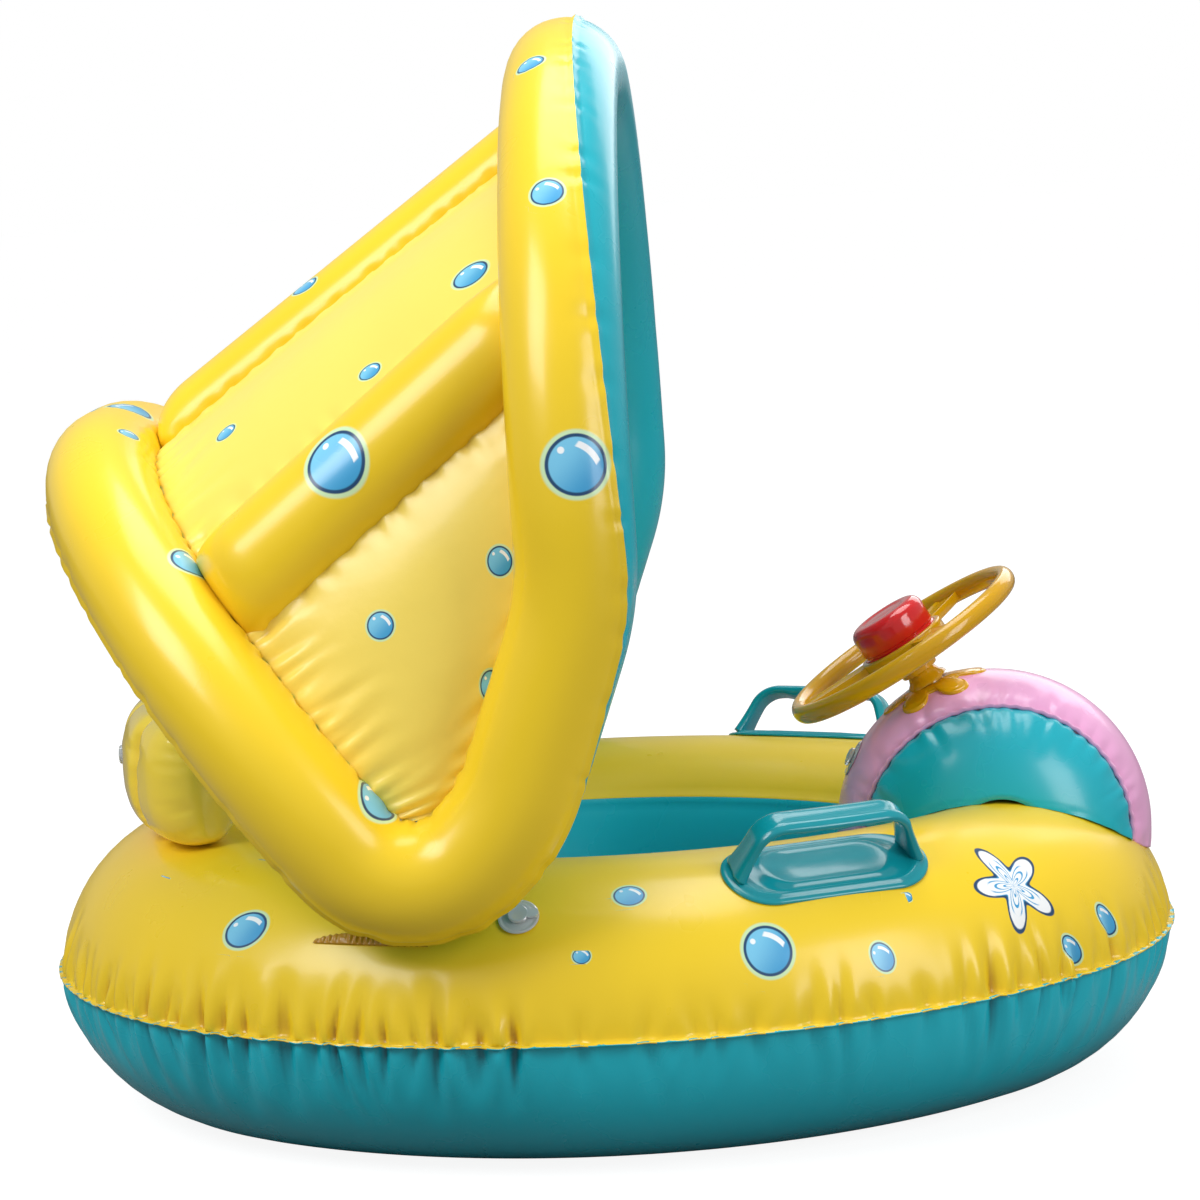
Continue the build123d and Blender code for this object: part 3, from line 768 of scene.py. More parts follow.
def ring_half(upper):
    """Half of the ring's skin with its weld lips and the puckers of the seams."""
    s, d = hull_sizes(), detail()
    draw = random.Random(d.seed)
    side = 1 if upper else -1
    centres, normals, places, total = ring_stations(820, s.tube_radius)

    def busy(place):
        k = int(place / total * len(centres)) % len(centres)
        x = centres[k][0]
        bow, stern = 0.16, -0.05
        return 0.95 if x > bow else (1.0 if x < stern else 0.62)

    reach = 0.046 if upper else 0.064
    outer = pucker_list(draw, total, d.pucker_pitch, d.pucker_depth, reach, busy)
    inner = pucker_list(draw, total, 0.03, 0.0012, 0.03)
    turn = np.radians(np.array(SECTION))
    station = places[:, None]
    from_outer = (turn * s.tube_radius)[None, :]
    from_inner = ((math.pi - turn) * s.tube_radius)[None, :]
    depth = pucker_field(station, from_outer, outer, total)
    depth = depth + pucker_field(station, from_inner, inner, total)
    radius = s.tube_radius - depth
    if upper:
        wall = SECTION.index(WALL_WELD)
        radius[:, wall] += 0.0014
        radius[:, [wall - 1, wall + 1]] -= 0.0006
    middle = centres + UP * s.middle_height
    direction = normals[:, None, :] * np.cos(turn)[None, :, None]
    direction = direction + UP * (side * np.sin(turn))[None, :, None]
    skin = middle[:, None, :] + radius[..., None] * direction
    wave = pucker_field(station, np.full((1, 1), 0.004), outer, total)[:, 0] * 0.35
    rows, aways = [skin], [direction]
    for edge, sign in ((0, 1), (1, -1)):
        lip = []
        for share in (0.25, 1.0):
            reach = sign * (s.tube_radius + s.lip_width * share)
            lift = side * 0.0004 + wave * share * 0.6 * (1 if edge == 0 else 0)
            lip.append(middle + normals * reach + UP * np.asarray(lift).reshape(-1, 1))
        lip = np.stack(lip, 1)
        away = np.broadcast_to(UP * side, lip.shape)
        if edge == 0:
            rows.insert(0, lip[:, ::-1])
            aways.insert(0, away)
        else:
            rows.append(lip)
            aways.append(away)
    points, away = np.concatenate(rows, 1), np.concatenate(aways, 1)
    if not upper:
        points[..., 2] = np.maximum(points[..., 2], 0.0)
    # Painted shade: a small fold depth on the outer weld lip, which the film material darkens into a thin
    # shade line along the seam.
    lip_painted_shade = np.full((len(centres), 2), 0.0012) + wave[:, None] * 0.5
    return points, away, np.concatenate([lip_painted_shade, depth, lip_painted_shade * 0], 1)


def ring_film(name, upper, columns, material, node_names):
    """A film of the ring from some of the columns of its half section."""
    points, away, folds = ring_half(upper)
    piece = grid_piece(
        name,
        points[:, columns],
        away[:, columns],
        folds=folds[:, columns],
        wrap=(True, False),
        thickness=hull_sizes().film * 0.8,
        materials=[material],
    )
    return finish_piece(piece, "hull", node_names)


class FLOAT_OT_hull(bpy.types.Operator):
    """Build the ring's yellow upper film and teal lower film with their puckered seam"""

    bl_idname = "float.hull"
    bl_label = "Hull films"

    def execute(self, context):
        wall = SECTION.index(WALL_WELD) + 2
        top, bottom = slice(0, wall + 1), slice(wall, None)
        upper = ring_film("hull_upper_film", True, top, yellow_film(), ["hull_upper_skin"])
        ring_film("hull_inner_wall", True, bottom, teal_film(), [])
        places = vertex_places(upper)
        draw = random.Random(detail().seed + 1)
        add_vector(upper, "drop", nearest_print(places, ring_prints(draw)))
        point, normal = ring_skin_point(-31, 40)
        star = print_frame(point, normal, 12, 0.030, 0.034)
        add_vector(upper, "star", nearest_print(places, [star]))
        ring_film("hull_lower_film", False, slice(None), teal_film(), ["hull_lower_skin"])
        return {"FINISHED"}


def inner_outline(inset, z, count=360):
    """The ring's plan moved inwards, at a height."""
    centres, normals = ring_stations(count, 0.0)[:2]
    return centres - normals * inset + np.array([0, 0, z])


DISH_X = 0.012  # middle of the seat's floor
LEG_HOLE_X, LEG_HOLE_Y = 0.05, 0.052
LEG_HOLE_LENGTH, LEG_HOLE_WIDTH = 0.115, 0.062
BEAD_OVERLAP = 0.001


class FLOAT_OT_seat(bpy.types.Operator):
    """Build the dished seat film with its two leg holes"""

    bl_idname = "float.seat"
    bl_label = "Seat sling"

    def execute(self, context):
        s = hull_sizes()
        rim_z, depth, sag = s.middle_height - 0.0022, 0.0405, 0.0015
        edge, wall_steps, floor_steps = s.tube_radius + 0.0045, 8, 30
        rows = [
            inner_outline(s.tube_radius + 0.0006, rim_z),
            inner_outline(edge, rim_z),
            inner_outline(edge + 0.002, rim_z - 0.004),
        ]
        for k in range(1, wall_steps):
            share = k / wall_steps
            rows.append(inner_outline(edge + 0.002 + 0.0095 * share, rim_z - 0.004 - (depth - 0.010) * share))
        rows.append(inner_outline(edge + 0.0135, rim_z - depth + 0.002))
        foot = inner_outline(edge + 0.017, rim_z - depth)
        rows.append(foot)
        middle = np.array([DISH_X, 0, rim_z - depth])
        for k in range(1, floor_steps):
            share = k / floor_steps
            ring = middle + (foot - middle) * (1 - share)
            ring[:, 2] -= sag * (1 - (1 - share) ** 2)
            rows.append(ring)
        points = np.stack(rows, 0)
        angle = np.linspace(0, 2 * math.pi, points.shape[1], endpoint=False)
        draw = random.Random(detail().seed + 2)
        for _ in range(46):
            at = draw.uniform(0, 2 * math.pi)
            wide, deep = draw.uniform(0.012, 0.03), draw.uniform(0.0004, 0.0011)
            off = np.mod(angle - at + math.pi, 2 * math.pi) - math.pi
            first, last = 4, 26
            for row in range(first, last):
                fade = math.sin(math.pi * (row - first + 1) / (last - first + 1)) ** 0.7
                points[row, :, 2] += deep * fade * np.exp(-((off / wide) ** 2))
        away = np.broadcast_to(UP, points.shape)
        sling = grid_piece("seat_sling_film", points, away, wrap=(False, True), materials=[teal_film()])
        apply_modifier(sling, "WELD", merge_threshold=0.0002)
        cap_centre(sling)
        apply_modifier(sling, "SOLIDIFY", thickness=0.0011, offset=-1, use_even_offset=False)
        for side in (-1, 1):
            hole = Vector((LEG_HOLE_X, side * LEG_HOLE_Y, rim_z - depth))
            combine(sling, slot_prism(hole, LEG_HOLE_LENGTH, LEG_HOLE_WIDTH, 0.02), "DIFFERENCE")
            bead = slot_bead(side, hole - Vector((0, 0, 0.0018)))
            finish_piece(bead, "hull")
        smooth(sling, 40)
        finish_piece(sling, "hull", ["seat_sling"])
        return {"FINISHED"}


def cap_centre(obj):
    """Close the small hole left in the middle of a dish."""
    act_on(obj)
    bpy.ops.object.mode_set(mode="EDIT")
    made = bmesh.from_edit_mesh(obj.data)
    middle = sum((v.co for v in made.verts), Vector()) / len(made.verts)
    for e in made.edges:
        e.select = e.is_boundary and (e.verts[0].co - Vector((DISH_X, 0, middle.z))).xy.length < 0.03
    bmesh.update_edit_mesh(obj.data)
    bpy.ops.mesh.edge_face_add()
    bpy.ops.object.mode_set(mode="OBJECT")


def slot_outline(along, wide, count=64):
    """A slot's outline, long side on X."""
    r, half = wide / 2, (along - wide) / 2
    turn = np.linspace(0, 2 * math.pi, count, endpoint=False)
    x = r * np.cos(turn) + np.where(np.cos(turn) >= 0, half, -half)
    return np.stack([x, r * np.sin(turn), np.zeros(count)], -1)


def slot_prism(middle, along, wide, deep):
    """A cutter in the shape of a slot, by extruding its filled outline."""
    outline = slot_outline(along, wide) + np.array(middle) - np.array([0, 0, deep / 2])
    mesh = bpy.data.meshes.new("slot_cutter")
    mesh.from_pydata(outline.tolist(), [], [list(range(len(outline)))])
    cutter = bpy.data.objects.new("slot_cutter", mesh)
    bpy.context.scene.collection.objects.link(cutter)
    edit_all(cutter)
    bpy.ops.mesh.extrude_region_move(TRANSFORM_OT_translate={"value": (0, 0, deep)})
    face_outwards()
    return cutter


def slot_bead(side, middle):
    """Welded bead round a leg hole."""
    outline = slot_outline(LEG_HOLE_LENGTH + 2 * BEAD_OVERLAP, LEG_HOLE_WIDTH + 2 * BEAD_OVERLAP, 96)
    straight = (LEG_HOLE_LENGTH - LEG_HOLE_WIDTH) / 2
    spine = np.clip(outline[:, 0], -straight, straight)
    out = unit(outline - np.stack([spine, 0 * spine, 0 * spine], -1))
    turn = np.linspace(0, 2 * math.pi, 12, endpoint=False)
    direction = out[:, None, :] * np.cos(turn)[None, :, None] + UP * np.sin(turn)[None, :, None]
    size = np.array([0.0032, 0.0032, 0.0016])
    points = outline[:, None, :] + direction * size + np.array(middle) + np.array([0, 0, 0.0018])
    name = "leg_hole_bead_port" if side > 0 else "leg_hole_bead_starboard"
    return grid_piece(name, points, direction, wrap=(True, True), materials=[teal_film()])


def cushion_middle():
    """Height of the backrest's middle."""
    low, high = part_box("backrest_cushion")
    return (low.z + high.z) / 2


def squared_circle(turn, power):
    """The two coordinates of a circle pressed towards a square."""
    c, n = np.cos(turn), np.sin(turn)
    return np.sign(c) * np.abs(c) ** (2 / power), np.sign(n) * np.abs(n) ** (2 / power)


def pillow(share, end):
    """Swell of a pillow end: 0 at the weld, 1 once past its end length."""
    u = np.clip(share / end, 0, 1)
    return np.sqrt(np.clip(1 - (1 - u) ** 2, 0, 1))


class FLOAT_OT_backrest(bpy.types.Operator):
    """Build the curved backrest cushion with its channels and puckers"""

    bl_idname = "float.backrest"
    bl_label = "Backrest cushion"

    def execute(self, context):
        s = hull_sizes()
        stern = plan_arcs()[2]
        half = math.radians(38.0)  # half the angle that the cushion spans
        columns, around, cells = 340, 96, 5
        squareness, channel_width, channel_depth, crease_depth = 2.6, 0.0052, 0.0105, 0.0022
        angle = np.linspace(-half, half, columns)
        arc = angle * s.cushion_radius
        to_end = half * s.cushion_radius - np.abs(arc)
        turn = np.linspace(0, 2 * math.pi, around, endpoint=False)
        c, n = squared_circle(turn, squareness)
        u, w = c * s.cushion_depth / 2, n * s.cushion_height / 2
        swell = 0.16 + 0.84 * pillow(to_end, 0.026)
        tall = 0.80 + 0.20 * pillow(to_end, 0.020)
        groove = np.zeros(columns)
        grooves = [k * half * 2 / cells - half for k in range(1, cells)]
        for place in grooves:
            off = (angle - place) * s.cushion_radius
            groove = np.maximum(groove, np.exp(-((off / channel_width) ** 2)))
        flank = np.abs(u) / (s.cushion_depth / 2)
        height_share = np.clip(1 - (np.abs(w) / (s.cushion_height / 2 * 0.93)) ** 4, 0, 1)
        depth = groove[:, None] * channel_depth * (flank * (0.25 + 0.75 * height_share))[None, :]
        draw = random.Random(detail().seed + 3)
        for place in grooves + [-half, half]:
            for _ in range(9):
                level = draw.uniform(-0.036, 0.036)
                wide, reach = draw.uniform(0.0016, 0.0032), draw.uniform(0.010, 0.026)
                off = np.abs(arc - place * s.cushion_radius)
                fade = np.clip(1 - off / reach, 0, 1) ** 1.3
                lean = draw.uniform(-0.2, 0.2)
                crease = np.exp(-(((w[None, :] - level - lean * off[:, None]) / wide) ** 2))
                depth += crease_depth * fade[:, None] * crease * flank[None, :]
        u2 = u[None, :] * swell[:, None] - np.sign(u)[None, :] * depth * swell[:, None]
        w2 = w[None, :] * tall[:, None] * (1 - 0.035 * groove[:, None])
        plan = math.pi + angle
        out = np.stack([np.cos(plan), np.sin(plan), 0 * plan], -1)
        middle = np.array([stern[0], 0, cushion_middle()]) + out * s.cushion_radius
        away = out[:, None, :] * u2[..., None] + UP * w2[..., None]
        points = middle[:, None, :] + away
        piece = grid_piece(
            "backrest_pillow",
            points,
            away,
            wrap=(False, True),
            caps=True,
            materials=[pale_yellow_film()],
            # the channels' and creases' depth, darkened by the film material into painted shade
            folds=depth * 0.2,
        )
        apply_modifier(piece, "SUBSURF", levels=1, render_levels=1)
        finish_piece(piece, "hull", ["backrest_cushion"])
        return {"FINISHED"}


def console_skin(y, turn, grow=0.0):
    """Point of the console at a distance from its middle plane and an angle about its axis."""
    s = hull_sizes()
    offset = s.console_radius - s.console_crown
    crown = s.console_crown + grow
    radius = offset + np.sqrt(np.clip(crown**2 - y**2, 0, None))
    x = s.console_x + radius * np.cos(turn)
    z = s.console_height + radius * np.sin(turn)
    return np.stack([x, np.broadcast_to(y, x.shape), z], -1)


def console_free(y, gap):
    """Angles round the console at a distance from its middle, and which of them are clear of the ring."""
    s = hull_sizes()
    steps = np.radians(np.linspace(-60, 240, 2400))
    test = console_skin(np.full(steps.shape, y), steps)
    return steps, (ring_clearance(test) > gap) & (test[:, 2] > s.middle_height + 0.021)


def console_piece(name, low, high, rows, material, node_name):
    """A sheet of the console between two distances from its middle, down to the ring's skin."""
    s = hull_sizes()
    ys = np.linspace(low, high, rows)
    cols = 260
    limits = []
    for y in ys:
        steps, free = console_free(y, s.seat_gap)
        start = end = len(steps) // 2
        while start > 0 and free[start - 1]:
            start -= 1
        while end < len(steps) - 1 and free[end + 1]:
            end += 1
        limits.append((steps[start], steps[end]))
    starts, ends = np.array(limits).T
    share = np.linspace(0, 1, cols)
    turn = starts[:, None] + (ends - starts)[:, None] * share[None, :]
    grid_y = np.repeat(ys[:, None], cols, 1)
    points = console_skin(grid_y, turn)
    middle = np.array([s.console_x, 0, s.console_height])
    axis_point = points * np.array([0, 1, 0]) * 0.6 + middle
    away = unit(points - axis_point)
    run = turn * s.console_radius
    total = 2 * math.pi * s.console_radius
    draw = random.Random(detail().seed + 4)
    lines = pucker_list(draw, total, 0.014, 0.0016, 0.026)
    if low < 0 < high:
        depth = sum(
            pucker_field(run, np.abs(s.band_half_width * sign - grid_y), lines, total)
            + 0.0022 * np.exp(-(((s.band_half_width * sign - grid_y) / 0.0035) ** 2))
            for sign in (-1, 1)
        )
        depth -= 0.0012 * np.cos(grid_y / s.band_half_width * math.pi / 2)
    else:
        inner = np.abs(np.abs(grid_y) - s.band_half_width)
        depth = pucker_field(run, inner, lines, total) + 0.0022 * np.exp(-((inner / 0.0035) ** 2))
        depth -= 0.0014 * np.sin(np.clip(inner / 0.038, 0, 1) * math.pi)
    base = np.minimum(turn - starts[:, None], ends[:, None] - turn) * s.console_radius
    foot = pucker_list(draw, 4 * s.band_half_width, 0.012, 0.0012, 0.018)
    depth += pucker_field(grid_y + 2 * s.band_half_width, base, foot, 4 * s.band_half_width)
    points = points - away * depth[..., None]
    piece = grid_piece(name, points, away, thickness=s.film * 0.9, materials=[material], folds=depth)
    return finish_piece(piece, "hull", [node_name])


def console_weld(side):
    """The weld lip between the console's band and one cheek."""
    s = hull_sizes()
    y = side * s.band_half_width
    steps, free = console_free(y, s.seat_gap * 3)
    turn = steps[free][::6]
    line = console_skin(np.full(turn.shape, y), turn)
    out = unit(line - np.array([s.console_x, y * 0.6, s.console_height]))
    around = np.linspace(0, 2 * math.pi, 10, endpoint=False)
    across = np.array([0, 1.0, 0])
    ripple = 0.00035 * np.sin(turn * 64)[:, None, None] * out[:, None, :]
    direction = out[:, None, :] * np.cos(around)[None, :, None] * 0.0016
    direction = direction + across * np.sin(around)[None, :, None] * 0.0008
    points = line[:, None, :] - out[:, None, :] * 0.0012 + direction + ripple
    name = "console_weld_port" if side > 0 else "console_weld_starboard"
    piece = closed_bar(name, points, direction, pink_film())
    return finish_piece(piece, "hull")


class FLOAT_OT_console(bpy.types.Operator):
    """Build the console's pink band and teal cheeks, puffed between their welds"""

    bl_idname = "float.console"
    bl_label = "Console"

    def execute(self, context):
        s = hull_sizes()
        edge = s.band_half_width - 0.0002
        console_piece("console_band_film", -edge, edge, 46, pink_film(), "console_centre_band")
        last = 0.0828
        for side, word in SIDES:
            near, far = side * (edge + 0.0004), side * last
            console_piece(
                f"console_{word}_cheek", near, far, 40, teal_film(), f"console_{word}_panel"
            )
            console_weld(side)
        return {"FINISHED"}


# ---------------------------------------------------------------- canopy

REAR_LEAN = math.radians(51.0)  # how far the rear hoop's plane lies below upright
REAR_FREE = np.array([math.sin(REAR_LEAN), 0, math.cos(REAR_LEAN)])
FRONT_FREE = np.array([1, 0, 0.02])
FRONT_SPREAD = 0.284  # half width of the front hoop at its crest
RIB_ANGLES = ((False, 37.0), (True, 31.5))  # place of the side ribs on the rear and the front arch
FILM_SINK = 0.0012  # how deep the films are welded into the hoops
ALONG = 1201  # points along a half hoop where films and ribs are welded on


def filleted(points, radii, step=0.003):
    """A smooth path through corners rounded to the given radii."""
    path = [np.array(points[0], float)]
    for k in range(1, len(points) - 1):
        before, here, after = (np.array(p, float) for p in points[k - 1 : k + 2])
        a, b = unit(before - here), unit(after - here)
        turn = math.pi - math.acos(np.clip(a @ b, -1, 1))
        cut = radii[k - 1] * math.tan(turn / 2)
        start = here + a * cut
        centre = here + unit(a + b) * radii[k - 1] / math.cos(turn / 2)
        x_axis = unit(start - centre)
        y_axis = -a
        for share in np.linspace(0, turn, max(3, int(radii[k - 1] * turn / step))):
            path.append(centre + radii[k - 1] * (x_axis * math.cos(share) + y_axis * math.sin(share)))
    path.append(np.array(points[-1], float))
    return np.array(path)


def resample(path, count):
    """Equal steps along a path."""
    gaps = np.linalg.norm(np.diff(path, axis=0), axis=1)
    run = np.concatenate([[0], np.cumsum(gaps)])
    at = np.linspace(0, run[-1], count)
    return np.stack([np.interp(at, run, path[:, k]) for k in range(3)], -1), run[-1]


def corner_point(angle):
    """A point of the starboard corner's bend, 0 at its lowest."""
    c = canopy_sizes()
    turn = math.radians(angle)
    x = c.corner_x + c.corner_radius * math.sin(turn)
    return (x, -c.corner_y, c.corner_z - c.corner_radius * math.cos(turn))


def half_hoop(front):
    """Starboard half of a hoop's centreline, from the corner's lowest point to the crest."""
    c = canopy_sizes()
    end = 45.0 if front else -51.0
    arc = [np.array(corner_point(end * k / 24)) for k in range(25)]
    last = arc[-1]
    if front:
        step = 0.030 * math.cos(math.radians(45))
        foot = last + np.array([step, 0, step])
        crest = np.array([c.front_crest_x, -FRONT_SPREAD, c.front_crest_z])
        corners = [last, foot, (0.004, -0.280, 0.340), crest, crest * np.array([1, 0, 1])]
        radii = [0.110, 0.160, c.crest_radius]
    else:
        rise = (last[0] - c.rear_crest_x) * math.tan(REAR_LEAN)
        crest = np.array([c.rear_crest_x, -c.corner_y, last[2] + rise])
        corners = [last, crest, crest * np.array([1, 0, 1])]
        radii = [c.crest_radius]
    path = filleted(corners, radii)
    return np.vstack([arc[:-1], path])


def hoop_loop():
    """The closed centreline of both hoops: starboard rear up and over, then back over the front."""
    rear, front = half_hoop(False), half_hoop(True)
    return np.vstack([rear, (rear * MIRROR)[-2::-1], (front * MIRROR)[1:], front[-2:0:-1]])


def loop_frames(points):
    """Tangent, free-edge side and outward side at each point of the closed loop."""
    tangent = unit(np.roll(points, -1, 0) - np.roll(points, 1, 0))
    free = np.zeros_like(points)
    flat = np.stack([tangent[:, 0], 0 * tangent[:, 0], tangent[:, 2]], -1)
    size = np.linalg.norm(flat, axis=1)
    c = canopy_sizes()
    for k, (p, t) in enumerate(zip(points, flat)):
        is_front = p[0] > c.corner_x
        arch_way = FRONT_FREE if is_front else -REAR_FREE
        if size[k] < 0.93 and p[2] > c.corner_z:
            free[k] = arch_way
        else:
            side = t / max(size[k], 1e-9)
            free[k] = (side[2], 0, -side[0])
            if p[2] > c.corner_z:
                free[k] *= 1 if free[k] @ arch_way > 0 else -1
            elif free[k][2] > 0:
                free[k] *= -1
    free = unit(free - (free * tangent).sum(-1, keepdims=True) * tangent)
    for _ in range(6):
        free = unit(free + np.roll(free, 1, 0) + np.roll(free, -1, 0))
        free = unit(free - (free * tangent).sum(-1, keepdims=True) * tangent)
    out = np.cross(tangent, free)
    middle = np.stack([points[:, 0], 0 * points[:, 0], np.minimum(points[:, 2], 0.35)], -1)
    sign = np.sign(((points - middle) * out).sum(-1, keepdims=True))
    return tangent, free, out * sign


def hoop_rails(count=760):
    """The hoops' closed centreline at equal steps, with the ways of its outer seam and its flank."""
    c = canopy_sizes()
    loop = hoop_loop()
    path, total = resample(np.vstack([loop, loop[:1]]), count + 1)
    path = path[:-1]
    for _ in range(3):
        path = (np.roll(path, 1, 0) + 2 * path + np.roll(path, -1, 0)) / 4
    tangent, free, out = loop_frames(path)
    low = c.corner_z - c.corner_radius
    front = path[:, 0] > c.corner_x
    crest = np.where(front, path[front][:, 2].max(), path[~front][:, 2].max())
    share = (path[:, 2] - low) / (crest - low)
    turn = np.radians(10 + np.where(front, 65, 14) * share)[:, None]
    seam = free * np.cos(turn) + out * np.sin(turn)
    flank = out * np.cos(turn) - free * np.sin(turn)
    return path, seam, flank, out, np.arange(count) * total / count, total


def along_rails(rails, front, count):
    """Centre and seam, flank and outward ways along the starboard half of a hoop, from the corner up."""
    path, seam, flank, out, places, total = rails
    run = resample(half_hoop(front), count)[1]
    at = np.linspace(0, run, count)
    at = total - at if front else at
    return [
        np.stack([np.interp(at, places, values[:, k], period=total) for k in range(3)], -1)
        for values in (path, seam, flank, out)
    ] + [run]


# Printed drops on the hoops: on the front one or not, distance from the corner's lowest point,
# angle round the tube from its flank to its seam, half sizes in mm, lean
HOOP_DROPS = [
    (True, 0.530, 48, 9.0, 8.0, 30),
    (True, 0.417, 57, 9.5, 9.0, 20),
    (True, 0.273, 54, 17.0, 17.0, 0),
    (False, 0.056, -74, 17.0, 13.0, 10),
    (False, 0.238, -60, 14.0, 11.0, -20),
    (False, 0.392, -48, 8.0, 6.0, -20),
]


def hoop_print_frames():
    """Print frames on the starboard legs, and others scattered on the port legs."""
    c = canopy_sizes()
    rails = hoop_rails()
    halves = {front: along_rails(rails, front, 401) for front in (True, False)}
    draw = random.Random(detail().seed + 6)
    spots = [(*drop, -1) for drop in HOOP_DROPS]
    for front, run, angle, wide, high, lean in HOOP_DROPS:
        spots.append((front, run + draw.uniform(-0.05, 0.05), draw.uniform(-30, 30), wide, high, -lean, 1))
    for k in range(4):
        size = draw.choice((6, 9, 14))
        spots.append((k % 2 == 0, draw.uniform(0.60, 0.80), draw.uniform(-35, 35), size, size, 0, 1))
    frames = []
    for front, run, angle, wide, high, lean, side in spots:
        path, seam, flank, out, size = halves[front]
        k = int(np.clip(run / size, 0, 1) * 400)
        turn, flip = math.radians(angle), np.array([1, -side, 1])
        normal = (flank[k] * math.cos(turn) + seam[k] * math.sin(turn)) * flip
        point = path[k] * flip + normal * c.tube_radius
        frames.append(print_frame(point, normal, lean, wide * MM, high * MM))
    return frames


# Angles round the hoops' tube, from the inner weld over the flank and the seam at 90 and back
HOOP_SECTION = [-90, -86, -80, -73, -66, -58, -50, -41, -32, -22, -12, -2, 8, 18, 28, 38, 48, 57, 66, 74]
HOOP_SECTION += [81, 86.5, 89.2, 90, 90.8, 93.5, 99, 106, 114, 123, 132, 142, 152, 162, 172, 182, 192, 202]
HOOP_SECTION += [212, 222, 231, 240, 248, 255, 261, 266]


class FLOAT_OT_hoops(bpy.types.Operator):
    """Build the canopy's closed loop of inflated tube, yellow outside and teal inside"""

    bl_idname = "float.hoops"
    bl_label = "Canopy hoops"

    def execute(self, context):
        c, d = canopy_sizes(), detail()
        path, seam_way, flank, _, places, total = hoop_rails()
        turn = np.radians(np.array(HOOP_SECTION, float))
        run = places[:, None]
        draw = random.Random(d.seed + 5)
        weld = pucker_list(draw, total, 0.024, d.wrinkle_depth, 0.020)
        seam = pucker_list(draw, total, 0.030, d.wrinkle_depth * 0.6, 0.016)
        degrees = np.degrees(turn)
        to_weld = np.minimum(np.abs(degrees + 90), np.abs(270 - degrees)) / RADIAN * c.tube_radius
        to_seam = np.abs(degrees - 90) / RADIAN * c.tube_radius
        depth = pucker_field(run, to_weld[None, :], weld, total)
        depth = depth + pucker_field(run, to_seam[None, :], seam, total)
        lip = np.where(np.abs(degrees - 90) < 0.9, 0.0019, 0.0)
        radius = c.tube_radius - 0.0004 - depth + lip[None, :]
        direction = flank[:, None, :] * np.cos(turn)[None, :, None]
        direction = direction + seam_way[:, None, :] * np.sin(turn)[None, :, None]
        points = path[:, None, :] + radius[..., None] * direction
        loop = grid_piece(
            "canopy_hoops",
            points,
            direction,
            wrap=(True, True),
            materials=[yellow_film(), teal_film()],
            folds=depth * 0.8,
        )
        inner = np.tile(degrees >= 90, len(path))
        loop.data.polygons.foreach_set("material_index", inner.astype(np.int32))
        loop.data.update()
        add_vector(loop, "drop", nearest_print(vertex_places(loop), hoop_print_frames()))
        add_vector(loop, "star", plain_print(loop))
        finish_piece(loop, "canopy", ["canopy_rear_tube", "canopy_front_tube"])
        return {"FINISHED"}


def arch_point(front, angle):
    """A point of a hoop's starboard quarter arc, 0 at the side and 90 at the crest."""
    c = canopy_sizes()
    turn = math.radians(angle)
    if front:
        crest = np.array([c.front_crest_x, -FRONT_SPREAD, c.front_crest_z])
        up = unit(np.array([-0.006, -0.004, 0.290]))
    else:
        last = np.array(corner_point(-51.0))
        rise = (last[0] - c.rear_crest_x) * math.tan(REAR_LEAN)
        crest = np.array([c.rear_crest_x, -c.corner_y, last[2] + rise])
        up = unit(crest - last)
    inboard = unit(np.array([0, 1.0, 0]) - up * up[1])
    centre = crest + inboard * c.crest_radius - up * c.crest_radius
    return centre - inboard * c.crest_radius * math.cos(turn) + up * c.crest_radius * math.sin(turn)


def rib_line(which):
    """Rear and front weld points of a rib on the hoops, and the way it bulges."""
    c = canopy_sizes()
    rails = hoop_rails()
    ends, outs = [], []
    for front, angle in RIB_ANGLES:
        path, seam, _, out, _ = along_rails(rails, front, ALONG)
        spot = arch_point(front, 90.0 if which == "centre" else angle)
        k = ALONG - 1 if which == "centre" else np.argmin(np.linalg.norm(path - spot, axis=1))
        ends.append(path[k] - seam[k] * (c.tube_radius - FILM_SINK))
        outs.append(out[k])
    side = np.array([1, {"port": -1, "centre": 0, "starboard": 1}[which], 1])
    return ends[0] * side, ends[1] * side, unit((outs[0] + outs[1]) * side)


# Printed drops on the films: share round from corner to crest, share from rear to front,
# half sizes in mm, lean
PANEL_DROPS = [
    (0.354, 0.40, 8.0, 8.0, 0),
    (0.339, 0.88, 7.0, 8.5, 0),
    (0.200, 0.97, 6.0, 9.0, 0),
    (0.767, 0.19, 7.5, 6.0, 30),
    (0.661, 0.55, 7.5, 5.5, 30),
    (0.683, 0.83, 12.0, 9.0, 35),
]


